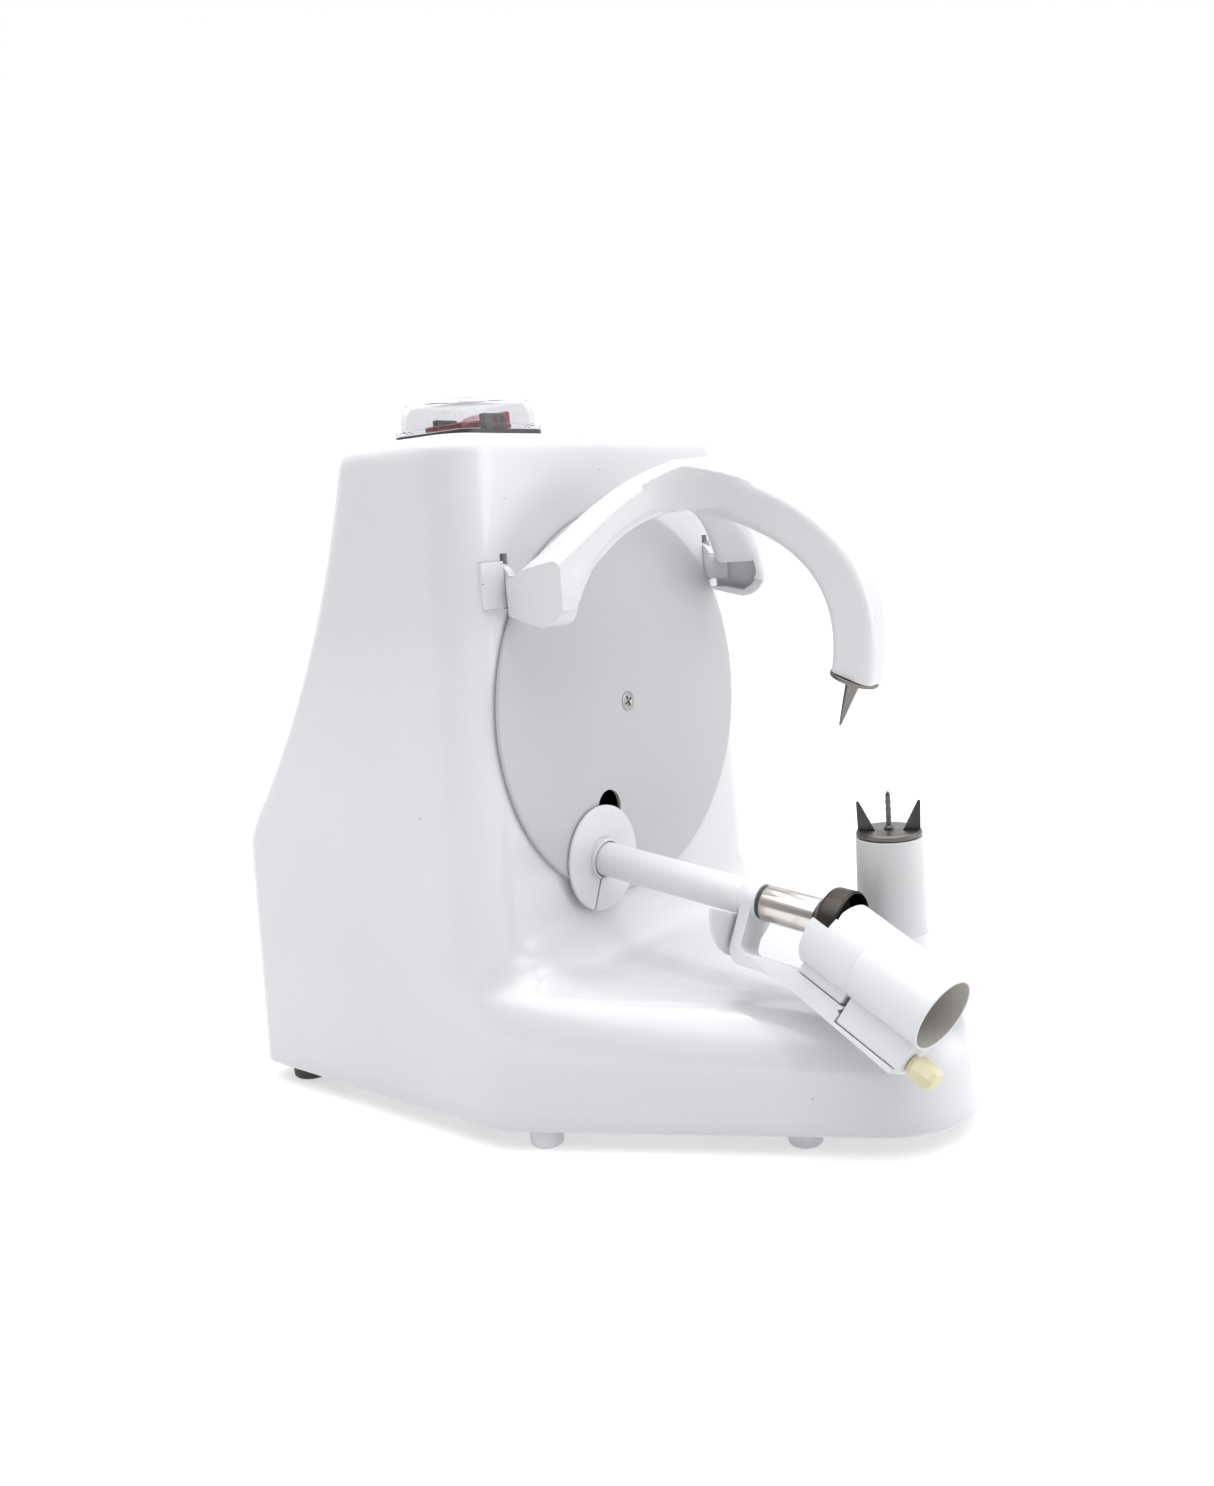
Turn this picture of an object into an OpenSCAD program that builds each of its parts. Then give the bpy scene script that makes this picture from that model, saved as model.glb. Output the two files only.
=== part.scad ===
// Electric fruit peeler: a moulded housing with a turning front disc that carries the
// peeling arm, a driven fork that spins the fruit, and a lifting arm that holds it from above.
// Frame: +X points from the tower to the fruit, +Z is up, the feet stand on z = 0.

/* [Housing] */
// Half width of the housing at its foot
foot_half_w = 107; // [100:1:112]
// Half width of the housing at its top
top_half_w = 95; // [90:1:100]
// Height of the tower's top
tower_top = 290; // [286:1:296]
// Height of the underside above the table
underside = 8; // [6:1:9]
// Radius of the tower's front upright edges
front_r = 20; // [14:1:24]
// Radius of the tower's back upright edges
back_r = 10; // [8:1:14]
// Radius of the edge around the tower's top
top_r = 9; // [6:1:9]
// Distance of the back plane behind the disc
back_depth = 157; // [154:1:160]
// Height of the base's top surface at the tower
deck_z = 63; // [61:1:64]
// Drop of the base's top surface per millimetre forward
deck_slope = 0.063; // [0.05:0.005:0.07]
// Radius of the rounded nose, seen from above
nose_r = 41; // [39:1:43]
// Radius of the edge around the base's top surface
deck_edge_r = 25; // [18:1:27]
// Radius of the hollow between tower and base
hollow_r = 24; // [18:1:26]

/* [Disc] */
// Front face of the disc
disc_x = -7.4; // [-7.4:0.1:-7.3]
// Height of the disc's centre
disc_z = 171; // [170.9:0.1:171.1]
// Radius of the disc
disc_r = 86; // [85:0.5:87]
// Thickness of the disc
disc_t = 2; // [1.8:0.1:2]
// Angle from straight down to the parked peeling arm
park_angle = 23; // [20:1:26]

/* [Peeling arm] */
// Tilt of the arm's tube away from the disc's axis
arm_tilt = 6.5; // [6:0.1:7]
// Radius of the arm's tube
tube_r = 7.5; // [7.3:0.1:7.5]
// Length of the arm from its pivot to the cutter's bracket
tube_len = 138.4; // [137:0.1:139]
// Radius of the ring cutter
cutter_r = 13.5; // [13:0.1:13.6]
// Angle between the chute and the tube
chute_angle = 19.4; // [19:0.1:20]
// Length of the peel chute
chute_len = 57; // [56:1:58]

/* [Spindle] */
// Distance of the spindle in front of the disc
spindle_reach = 125.9; // [125:0.1:127]
// Height of the fork cap's face
cap_z = 122.5; // [122:0.1:123]
// Radius of the fork cap
cap_r = 13; // [12.5:0.1:13]

/* [Upper arm] */
// Height of the arm's hinge
hinge_z = 229.5; // [229:0.1:230]
// Thickness of the arm's beam
beam_t = 19.5; // [19:0.1:20]
// Tilt of the spike from upright with the arm down
spike_tilt = 21; // [20:1:22]

/* [Hidden] */
$fn = 64;
white = [0.95, 0.95, 0.96];
steel = [0.62, 0.61, 0.58];
dark_steel = [0.33, 0.32, 0.31];
dark_rubber = [0.12, 0.12, 0.13];

// Gap between pieces that move past each other, and the radial play of a running fit
gap = 0.3;
play = 0.05;

// Tower and base
face_x = disc_x - disc_t - 0.5;
back_plane = disc_x - back_depth;
wall = 4.5;
side_draft = (foot_half_w - top_half_w) / (tower_top - underside);
// The tower's back is a long hollow arc: its centre and radius
back_arc_x = disc_x - 482.3;
back_arc_z = disc_z + 214.4;
back_arc_r = 420;
back_blend = 6;
nose_x = disc_x + 117;
bottom_edge = 2.5;
cavity_top = 45;
opening_r = 80;

// Steps around half the outline, and the tower's levels above the hollow
front_n = 6;
corner_n = 4;
side_n = 4;
back_n = 3;
nose_n = 4;
taper_n = 3;
round_n = 2;
taper_round = 30;
edge_n = 4;
hollow_n = 3;
top_n = 3;
tower_levels = [98, 108, 115, 121, 128, 140, 160, 190, 220, 250, tower_top - top_r];

// The taper's tangent angle on the nose, from the foot's corner
corner_x = disc_x;
corner_away = norm([corner_x - nose_x, foot_half_w]);
taper_angle = 180 - atan2(foot_half_w, nose_x - corner_x) - acos(nose_r / corner_away);

// Spindle
spindle_x = disc_x + spindle_reach;
post_r = 13.2;
post_top = cap_z - 2.6;
post_foot_r = 13.8;
shaft_r = 5;
bush_r = 8;
belt_z = 24;
belt_h = 10;
belt_t = 1.5;
driven_r = 16;
drive_r = 10;
motor_x = disc_x - 43;
motor_r = 30;

// Disc drive: gear and pinion of equal module
gear_module = 2.25;
gear_teeth = 40;
pinion_teeth = 12;
gear_x = disc_x - 42;
gear_t = 6;
gear_centres = gear_module * (gear_teeth + pinion_teeth) / 2 + 0.15;
disc_shaft_r = 6;
chassis_x = disc_x - 84;
chassis_t = 3;

// Peeling arm, measured from its pivot behind the disc
pivot_back = 60;
pivot_r = 64.65;
pivot_pin_r = 3;
slot_r = 8;
slot_in = 49;
slot_out = 73;
cover_r = 23.5;
cover_t = 1.6;
collar_len = 8;
seal_len = 2;
holder_len = 25;
holder_x = tube_len + collar_len + seal_len;
cutter_x = holder_x + holder_len;
cutter_len = 13.6;
stud_r = 4;
mouth_x = 230.6;
mouth_drop = 22.4;
chute_mouth_r = 15.3;
chute_rear_r = 16;
chute_bore_r = 14.2;
strip_w = 14;
strip_t = 5;
knob_drop = 21;
slide_gap = 0.3;

// Upper arm
hinge_x = disc_x - 7;
hinge_in = 70.1;
lug_in = 74.3;
lug_out = 85.5;
lug_proud = 1.5;
lug_r = 9.3;
tongue_in = 70.5;
tongue_out = 74;
hinge_pin_r = 3;
plate_x = disc_x + 113.8;
plate_z = disc_z + 12.7;
plate_r = 10;
plate_t = 1.6;
spike_len = 21.7;
shank_r = 3;

// Switch on the tower's top
switch_x = disc_x - 37;
switch_y = -49.5;
switch_len = 50;
switch_w = 44;
flange_h = 4.5;
cover_h = 15;

// ---------- outline of the housing ----------
function mix(a, b, t) = a + (b - a) * t;
function half_w(z) = foot_half_w - (z - underside) * side_draft;
function back_arc(z) = back_arc_x + sqrt(pow(back_arc_r, 2) - pow(z - back_arc_z, 2));
function smooth_max(a, b, k) = max(a, b) + pow(max(k - abs(a - b), 0), 2) / (4 * k);
function back_x(z) = smooth_max(back_arc(z), back_plane, back_blend);
function deck(x) = deck_z - deck_slope * max(x - face_x, 0);

// Half of the tower's outline, from the middle of its front to the middle of its back,
// moved inward by d: each point with its outward direction
function tower_half(z, d = 0) =
    let (w = half_w(z) - d, xf = face_x - d, xb = back_x(z) + d, rf = front_r - d, rb = max(back_r - d, 1))
    [for (i = [0:front_n - 1]) [xf, (w - rf) * i / front_n, 1, 0],
     for (i = [0:corner_n]) let (a = 90 * i / corner_n)
        [xf - rf + rf * cos(a), w - rf + rf * sin(a), cos(a), sin(a)],
     for (i = [1:side_n - 1]) [mix(xf - rf, xb + rb, i / side_n), w, 0, 1],
     for (i = [0:back_n]) let (a = 90 * i / back_n)
        [xb + rb - rb * sin(a), w - rb + rb * cos(a), -sin(a), cos(a)],
     [xb, 0, -1, 0]];

// The same points on the base's outline: nose, taper and rounded corner, then the tower's sides
function base_half(z) =
    let (d = foot_half_w - half_w(z), r = nose_r - d, w = half_w(z),
         tangent = [nose_x + r * cos(taper_angle), r * sin(taper_angle)],
         reach = taper_round * tan((90 - taper_angle) / 2),
         along = [-sin(taper_angle), cos(taper_angle)],
         corner = tangent + along * ((w - tangent[1]) / along[1]),
         start = corner - along * reach, centre = [corner[0] - reach, w - taper_round],
         tower = tower_half(z))
    [for (i = [0:nose_n]) let (a = taper_angle * i / nose_n)
        [nose_x + r * cos(a), r * sin(a), cos(a), sin(a)],
     for (i = [1:taper_n - 1]) let (p = mix(tangent, start, i / taper_n))
        [p[0], p[1], cos(taper_angle), sin(taper_angle)],
     for (i = [0:round_n]) let (a = mix(taper_angle, 90, i / round_n))
        [centre[0] + taper_round * cos(a), centre[1] + taper_round * sin(a), cos(a), sin(a)],
     for (i = [front_n + corner_n:len(tower) - 1]) tower[i]];

// Where point i climbs from base to tower: the widths of the base's edge and of the hollow,
// and how far their directions turn towards the line from tower to base at the corner
function climb(i) =
    let (b = base_half(deck_z)[i], t = tower_half(deck_z)[i], line = [b[0] - t[0], b[1] - t[1]],
         room = norm(line) / 2, turn = min(max((i - front_n + 1) / 2, 0), 1),
         way = room > 0.01 ? line / norm(line) : [0, 1])
    [min(deck_edge_r, room), min(hollow_r, room), turn, way];
climbs = [for (i = [0:len(tower_half(deck_z)) - 1]) climb(i)];
function inset(p, d) = [p[0] - p[2] * d, p[1] - p[3] * d];
// Inset of point i towards the tower (d > 0) or away from it (d < 0)
function shift(p, i, d) =
    let (c = climbs[i], v = [mix(p[2], c[3][0], c[2]), mix(p[3], c[3][1], c[2])])
    [p[0] - v[0] * d, p[1] - v[1] * d];
function level(p, z) = [p[0], p[1], z];

// Height of the deck where its rounded edge ends, and where the hollow begins
function edge_top(i) = deck(shift(base_half(deck_z)[i], i, climbs[i][0])[0]);
function hollow_foot(i) =
    deck(shift(tower_half(deck_z)[i], i, -climbs[i][1])[0]) + 1 - climbs[i][1] / hollow_r;

function bottom_rings() = [
    [for (p = base_half(underside)) level(inset(p, bottom_edge), underside)],
    [for (p = base_half(underside)) level(p, underside + bottom_edge)]];
function edge_rings() = [for (k = [0:edge_n]) let (a = 90 * k / edge_n)
    [for (i = [0:len(climbs) - 1])
        let (z = edge_top(i) - deck_edge_r * (1 - sin(a)))
        level(shift(base_half(z)[i], i, climbs[i][0] * (1 - cos(a))), z)]];
function hollow_rings() = [for (k = [0:hollow_n]) let (a = 90 * k / hollow_n)
    [for (i = [0:len(climbs) - 1])
        let (z = hollow_foot(i) + hollow_r * (1 - cos(a)))
        level(shift(tower_half(z)[i], i, -climbs[i][1] * (1 - sin(a))), z)]];
function tower_rings() = [for (z = tower_levels) [for (p = tower_half(z)) level(p, z)]];
function top_rings() = [for (k = [1:top_n]) let (a = 90 * k / top_n)
    let (z = tower_top - top_r * (1 - sin(a)))
    [for (p = tower_half(z, top_r * (1 - cos(a)))) level(p, z)]];

// A half ring closed by its mirror image, turning from +X towards +Y
function whole(ring) = concat(ring,
    [for (i = [len(ring) - 2:-1:1]) [ring[i][0], -ring[i][1], ring[i][2]]]);

// Solid between stacked rings of equal length
module rings_solid(rings) {
    n = len(rings[0]);
    m = len(rings);
    polyhedron(
        points = [for (r = rings) for (p = r) p],
        faces = concat(
            [[for (i = [0:n - 1]) i]],
            [for (k = [0:m - 2]) for (i = [0:n - 1]) let (j = (i + 1) % n)
                [k * n + i, (k + 1) * n + i, (k + 1) * n + j]],
            [for (k = [0:m - 2]) for (i = [0:n - 1]) let (j = (i + 1) % n)
                [k * n + i, (k + 1) * n + j, k * n + j]],
            [[for (i = [n - 1:-1:0]) (m - 1) * n + i]]),
        convexity = 6);
}

// Outline of the foot, moved inward by d
module footprint(d) {
    base = base_half(underside);
    tower = tower_half(underside, d);
    half = [for (i = [0:len(base) - 1])
        level(i < front_n + corner_n ? inset(base[i], d) : tower[i], 0)];
    polygon([for (p = whole(half)) [p[0], p[1]]]);
}

module upright_prism(points, half) {
    rotate([90, 0, 0]) linear_extrude(height = 2 * half, center = true) polygon(points);
}

// ---------- places ----------
module at_disc() translate([disc_x, 0, disc_z]) rotate([-park_angle, 0, 0]) children();
module at_arm() at_disc() translate([-pivot_back, 0, -pivot_r]) rotate([0, arm_tilt, 0]) children();
module at_chute() at_arm() translate([mouth_x, 0, -mouth_drop]) rotate([0, chute_angle, 0]) children();
module at_plate() translate([plate_x, 0, plate_z]) rotate([0, spike_tilt, 0]) children();
module along_x(x) translate([x, 0, 0]) rotate([0, 90, 0]) children();
module rod(r, x0, x1) along_x(x0) cylinder(r = r, h = x1 - x0);
module cross_rod(r, y0, y1) translate([0, y1, 0]) rotate([90, 0, 0]) cylinder(r = r, h = y1 - y0);
module side(s) if (s > 0) children(); else mirror([0, 1, 0]) children();

// ---------- housing ----------
screw_places = [[disc_x - 20, 98], [disc_x - 20, -98], [disc_x - 110, 98], [disc_x - 110, -98],
                [nose_x - 22, 27], [nose_x - 22, -27]];
screw_r = 2;
plate_h = 3;

module housing_cavity() {
    linear_extrude(height = 60, center = true) footprint(wall + 0.5);
    translate([0, 0, underside]) linear_extrude(height = cavity_top - underside) footprint(13);
    intersection() {
        upright_prism([[face_x - wall, cavity_top - 10], [face_x - wall, tower_top - wall],
                       for (z = [tower_top - wall, 230, 190, 160, 130]) [back_x(z) + wall + 1, z],
                       [back_plane + wall + 1, 112], [back_plane + wall + 1, cavity_top - 10]],
                      top_half_w);
        linear_extrude(height = tower_top) hull() {
            for (s = [-1, 1]) translate([face_x - front_r, s * (top_half_w - front_r)])
                circle(r = front_r - wall);
            translate([back_plane, wall - top_half_w]) square([20, 2 * (top_half_w - wall)]);
        }
    }
}

module hinge_slots() {
    for (s = [-1, 1]) side(s) {
        translate([face_x - 16, hinge_in, disc_z + 48.7]) cube([18, lug_in - hinge_in, 22]);
        translate([face_x - 16, lug_in - 0.1, hinge_z - lug_r - 0.1])
            cube([18, lug_out - lug_in + 0.1, 2 * lug_r + 0.2]);
    }
}

module housing() {
    color(white) difference() {
        union() {
            difference() {
                rings_solid([for (r = concat(bottom_rings(), edge_rings(), hollow_rings(),
                                             tower_rings(), top_rings())) whole(r)]);
                housing_cavity();
            }
            for (p = screw_places) translate([p[0], p[1], underside + plate_h])
                cylinder(r = 5, h = cavity_top - underside);
        }
        translate([0, 0, disc_z]) rod(opening_r, face_x - 10, face_x + 5);
        hinge_slots();
        translate([spindle_x, 0, cavity_top - 5]) cylinder(r = post_foot_r, h = 20);
        for (p = screw_places) translate([p[0], p[1], underside]) cylinder(r = screw_r, h = 15);
        translate([switch_x - 11, switch_y - 17, tower_top - 10]) cube([22, 34, 20]);
        translate([back_plane - 1, 46, 20]) cube([15, 28, 20]);
    }
}

module base_plate() {
    color(white) difference() {
        translate([0, 0, underside]) linear_extrude(height = plate_h) footprint(wall + 0.8);
        for (p = screw_places) translate([p[0], p[1], 0]) {
            cylinder(r = screw_r, h = 20);
            translate([0, 0, underside - 1]) cylinder(r = 4.2, h = 2.2);
        }
    }
}

module base_screws() {
    color(steel) for (p = screw_places) translate([p[0], p[1], underside]) {
        difference() {
            union() {
                cylinder(r = 4, h = 1.2);
                cylinder(r = screw_r, h = 14);
            }
            for (a = [0, 90]) rotate(a) translate([-1.5, -0.4, -0.1]) cube([3, 0.8, 0.8]);
        }
    }
}

module foot(x, y, r, c) {
    color(c) translate([x, y, 0]) {
        translate([0, 0, 1]) cylinder(r = r, h = underside - 1);
        cylinder(r1 = r - 0.8, r2 = r, h = 1);
    }
}
module foot_tower_left() foot(disc_x + 11, 90.5, 7, white);
module foot_tower_right() foot(disc_x + 11, -90.5, 7, white);
module foot_nose_left() foot(disc_x + 103, 38, 7, white);
module foot_nose_right() foot(disc_x + 103, -38, 7, white);
module foot_rear_left() foot(disc_x - 137, 92, 9, dark_rubber);
module foot_rear_right() foot(disc_x - 137, -92, 9, dark_rubber);

// ---------- spindle ----------
collar_h = 40;
flare_r = 30.5;
flare_top_r = 14.2;
flare_foot = 9;
flare_h = 27;

module post_collar() {
    color(white) difference() {
        translate([spindle_x, 0, cavity_top]) rotate_extrude() polygon(concat(
            [[post_foot_r, 0], [flare_r, 0]],
            [for (a = [0:10:90]) [mix(flare_r, flare_top_r, sin(a)), flare_foot + flare_h * (1 - cos(a))]],
            [[post_foot_r, flare_foot + flare_h]]));
        translate([spindle_x, 0, deck(spindle_x)]) rotate([0, atan(deck_slope), 0])
            translate([-60, -60, -40]) cube([120, 120, 40]);
    }
}

module spindle_post() {
    color(white) translate([spindle_x, 0, 0]) difference() {
        union() {
            translate([0, 0, cavity_top]) cylinder(r = post_foot_r, h = collar_h + 0.5);
            translate([0, 0, cavity_top + collar_h + 0.5])
                cylinder(r1 = post_foot_r, r2 = post_r, h = post_top - cavity_top - collar_h - 0.5);
            translate([0, 0, cavity_top - 4]) cylinder(r = 18, h = 4);
        }
        cylinder(r = bush_r, h = 200);
    }
}

module spindle_bush() {
    color([0.6, 0.45, 0.25]) translate([spindle_x, 0, 0]) for (z = [cavity_top, post_top - 16])
        translate([0, 0, z]) difference() {
            cylinder(r = bush_r, h = 15);
            translate([0, 0, -1]) cylinder(r = shaft_r + play, h = 20);
        }
}

module step_bearing() {
    color(dark_rubber) translate([spindle_x, 0, underside + plate_h]) difference() {
        cylinder(r = 10, h = 8);
        translate([0, 0, 2]) cylinder(r = shaft_r + play, h = 10);
    }
}

module spindle_shaft() {
    color(steel) translate([spindle_x, 0, underside + plate_h + 2.3])
        cylinder(r = shaft_r, h = cap_z - 2.1 - underside - plate_h - 2.3);
}

// Two upright fins stand on the cap, each beside the slot it was bent up from
fin_turn = 26.6;
fin_in = 5.4;
fin_h = 11.5;
fin_t = 1.4;
slot_deep = 1;
module fork_cap() {
    color(dark_steel) translate([spindle_x, 0, cap_z - 2.1]) {
        difference() {
            union() {
                cylinder(r = cap_r, h = 1.3);
                translate([0, 0, 1.3]) cylinder(r1 = cap_r, r2 = cap_r - 0.6, h = 0.8);
            }
            for (a = [0, 180], m = a == 0 ? -1 : 1) rotate(fin_turn + a)
                translate([0, m * fin_t / 2, 2.1 - slot_deep]) linear_extrude(height = 2)
                    polygon([[fin_in, 0], [cap_r - 1.2, 0], [cap_r - 1.4, m * 0.7], [fin_in, m * 2.6]]);
        }
        for (a = [0, 180]) rotate(fin_turn + a) translate([0, fin_t / 2, 2.1])
            rotate([90, 0, 0]) linear_extrude(height = fin_t)
                polygon([[fin_in, -0.5], [cap_r - 0.8, -0.5], [cap_r - 0.5, fin_h],
                         [cap_r - 1.5, fin_h]]);
    }
}

module centre_pin() {
    color(dark_steel) translate([spindle_x, 0, cap_z]) {
        cylinder(r = 2, h = 1.2);
        cylinder(r = 1.1, h = 14);
        translate([0, 0, 14]) cylinder(r1 = 1.1, r2 = 0.5, h = 1.5);
    }
}

module pulley(r) {
    cylinder(r = r + 2, h = 1);
    cylinder(r = r, h = belt_h + 2);
    translate([0, 0, belt_h + 1]) cylinder(r = r + 2, h = 1);
}

module driven_pulley() {
    color([0.25, 0.25, 0.27]) translate([spindle_x, 0, belt_z - 1]) difference() {
        pulley(driven_r);
        translate([0, 0, -1]) cylinder(r = shaft_r, h = 20);
    }
}

module drive_pulley() {
    color([0.25, 0.25, 0.27]) translate([motor_x, 0, belt_z - 1]) {
        pulley(drive_r);
        cylinder(r = 4, h = 17);
    }
}

// Belt outline: the hull of two circles, as two arcs joined by tangents
belt_run = spindle_x - motor_x;
function belt_points(extra) =
    let (lean = asin((driven_r - drive_r) / belt_run), n = 20)
    concat([for (i = [0:n]) let (a = mix(-90 - lean, 90 + lean, i / n))
                [spindle_x + (driven_r + extra) * cos(a), (driven_r + extra) * sin(a)]],
           [for (i = [0:n]) let (a = mix(90 + lean, 270 - lean, i / n))
                [motor_x + (drive_r + extra) * cos(a), (drive_r + extra) * sin(a)]]);

module drive_belt() {
    color(dark_rubber) translate([0, 0, belt_z + gap]) difference() {
        linear_extrude(height = belt_h - 2 * gap) polygon(belt_points(0.4 + belt_t));
        translate([0, 0, -1]) linear_extrude(height = 20) polygon(belt_points(0.4));
    }
}

module spindle_motor() {
    color(steel) translate([motor_x, 0, 0]) difference() {
        union() {
            translate([0, 0, 42]) cylinder(r = motor_r, h = 42);
            translate([0, 0, 39]) cylinder(r = motor_r - 6, h = 3);
        }
        cylinder(r = 4 + play, h = 60);
    }
}

module motor_mount() {
    color(steel) difference() {
        union() {
            translate([motor_x - 36, -44, 36]) cube([72, 88, 3]);
            for (x = [-31, 31], y = [-39, 39]) translate([motor_x + x, y, underside + plate_h])
                cylinder(r = 4, h = 36 - underside - plate_h);
        }
        translate([motor_x, 0, 0]) cylinder(r = 8, h = 60);
    }
}

module chassis_plate() {
    color(steel) difference() {
        union() {
            translate([chassis_x - chassis_t, -76, underside + plate_h]) cube([chassis_t, 152, 210]);
            translate([chassis_x - 40, -76, underside + plate_h]) cube([40, 152, 3]);
        }
        translate([0, 0, disc_z]) rod(disc_shaft_r + 1, chassis_x - 10, chassis_x + 10);
    }
}

// ---------- disc ----------
// Slot with round ends, along the disc's own radius
module slot_shape(half, r0, r1, x0, x1) {
    translate([0, 0, -r0]) rod(half, x0, x1);
    translate([0, 0, -r1]) rod(half, x0, x1);
    translate([x0, -half, -r1]) cube([x1 - x0, 2 * half, r1 - r0]);
}

module disc() {
    color(white) difference() {
        translate([disc_x, 0, disc_z]) rotate([0, 90, 0]) rotate_extrude($fn = 128) polygon([
            [0, -disc_t], [disc_r, -disc_t], [disc_r, -0.6], [disc_r - 0.6, 0], [disc_r - 7, 0],
            [disc_r - 20, -0.3], [0, -0.6]]);
        at_disc() slot_shape(slot_r, slot_in, slot_out, -10, 10);
        translate([0, 0, disc_z]) {
            rod(2.2, disc_x - 10, disc_x + 10);
            along_x(disc_x - 1.6) cylinder(r1 = 2.2, r2 = 4.6, h = 1.4);
        }
    }
}

module disc_screw() {
    color(steel) difference() {
        translate([0, 0, disc_z]) {
            rod(2, disc_x - 12, disc_x - 1.6);
            along_x(disc_x - 1.6) cylinder(r1 = 2.1, r2 = 4.4, h = 1.35);
        }
        translate([disc_x - 1.1, 0, disc_z]) for (a = [25, 115]) rotate([a, 0, 0]) {
            translate([0, -2.6, -0.5]) cube([2, 5.2, 1]);
        }
    }
}

module disc_shaft() {
    color(steel) difference() {
        translate([0, 0, disc_z]) {
            rod(disc_shaft_r, chassis_x - 6, disc_x - disc_t);
            rod(16, disc_x - disc_t - 4, disc_x - disc_t);
        }
        translate([0, 0, disc_z]) rod(2, disc_x - 12.3, disc_x);
    }
}

module disc_bearing() {
    color([0.45, 0.46, 0.48]) difference() {
        translate([0, 0, disc_z]) rod(16, chassis_x, gear_x - 1);
        translate([0, 0, disc_z]) rod(disc_shaft_r + play, chassis_x - 1, gear_x + 1);
    }
}

// Involute gear outline: flank angles follow from the base circle
function involute_angle(r, rb) = r <= rb ? 0 : let (t = sqrt(pow(r / rb, 2) - 1)) t * 180 / PI - atan(t);
function flank(z, m, r) =
    let (rp = m * z / 2, rb = rp * cos(20), half = 90 / z - 0.07 * 180 / PI / rp)
    half + involute_angle(rp, rb) - involute_angle(r, rb);
function gear_points(z, m) =
    let (rp = m * z / 2, root = rp - 1.25 * m, tip = rp + m, low = max(root + 0.3, rp * cos(20)))
    [for (i = [0:z - 1]) let (c = 360 * i / z)
        each concat([[root, c - flank(z, m, low) - 1.2]],
                    [for (k = [0:3]) let (r = mix(low, tip, k / 3)) [r, c - flank(z, m, r)]],
                    [for (k = [3:-1:0]) let (r = mix(low, tip, k / 3)) [r, c + flank(z, m, r)]],
                    [[root, c + flank(z, m, low) + 1.2]])];
module gear_shape(z, m) {
    polygon([for (p = gear_points(z, m)) [p[0] * cos(p[1]), p[0] * sin(p[1])]]);
}

module disc_gear() {
    color(white) difference() {
        translate([0, 0, disc_z]) along_x(gear_x) union() {
            linear_extrude(height = gear_t) gear_shape(gear_teeth, gear_module);
            cylinder(r = 12, h = gear_t + 6);
        }
        translate([0, 0, disc_z]) rod(disc_shaft_r, gear_x - 1, gear_x + 20);
    }
}

module disc_pinion() {
    color(steel) translate([0, gear_centres, disc_z]) {
        along_x(gear_x - 1) rotate(180 / pinion_teeth)
            linear_extrude(height = gear_t + 2) gear_shape(pinion_teeth, gear_module);
        rod(4, gear_x - 6, gear_x);
    }
}

module disc_motor() {
    color(steel) translate([0, gear_centres, disc_z]) difference() {
        union() {
            rod(24, chassis_x, gear_x - 10);
            rod(10, gear_x - 10, gear_x - 4);
        }
        rod(4 + play, gear_x - 8, gear_x);
    }
}

// ---------- peeling arm ----------
cheek_in = slot_r + gap;
cheek_out = 12.3;
module arm_clevis() {
    color(steel) at_disc() difference() {
        for (s = [-1, 1]) side(s) {
            translate([-pivot_back - 8, cheek_in, -pivot_r - 9])
                cube([pivot_back + 8 - disc_t, cheek_out - cheek_in, 18]);
            translate([-disc_t - 3, cheek_in, -pivot_r - 9]) cube([3, 10, 24]);
        }
        translate([-pivot_back, 0, -pivot_r]) cross_rod(pivot_pin_r, -30, 30);
    }
}

module arm_pivot_pin() {
    color(steel) at_disc() translate([-pivot_back, 0, -pivot_r]) cross_rod(pivot_pin_r, -14, 22);
}

spring_r = 4.4;
spring_wire = 0.6;
spring_turns = 5;
spring_step = 30;
module arm_spring() {
    n = 8;
    count = spring_turns * 360 / spring_step;
    color(steel) at_disc() translate([-pivot_back, cheek_out + 1, -pivot_r]) rings_solid(
        [for (k = [0:count]) let (a = k * spring_step)
            [for (i = [0:n - 1]) let (r = spring_r + spring_wire * cos(i * 360 / n))
                [r * cos(a), k * 8 / count + spring_wire * sin(i * 360 / n), r * sin(a)]]]);
}

cover_x = 0.3;
cover_at = pivot_r + (pivot_back + cover_x + cover_t / 2) * tan(arm_tilt);
module slot_cover() {
    color(white) at_disc() difference() {
        translate([0, 0, -cover_at]) rod(cover_r, cover_x, cover_x + cover_t);
        translate([0, 0, -cover_at]) rod(tube_r + 0.5, -5, 10);
        translate([-5, -0.6, -cover_at - 40]) cube([20, 1.2, 40]);
    }
}

module arm_tube() {
    color(white) at_arm() difference() {
        union() {
            rod(tube_r, 0, tube_len);
            cross_rod(8, -slot_r, slot_r);
        }
        cross_rod(pivot_pin_r + play, -20, 20);
        rod(stud_r, tube_len - 12, tube_len + 5);
    }
}

// A point given along and across the chute, in the arm's own plane
function on_chute(p) = [mouth_x + p[0] * cos(chute_angle) + p[1] * sin(chute_angle),
                        -mouth_drop - p[0] * sin(chute_angle) + p[1] * cos(chute_angle)];
rail_in = 19.1;
rail_out = 26.5;
rib_in = 25.6;
rib_out = 27.8;
rail_start = -57;
step_at = -31;
rib_end = -3;
strip_x = tube_len + 2;
bend_in = 3;
bend_out = 7;
low_in = -21.4;
low_out = -26.6;

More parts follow.
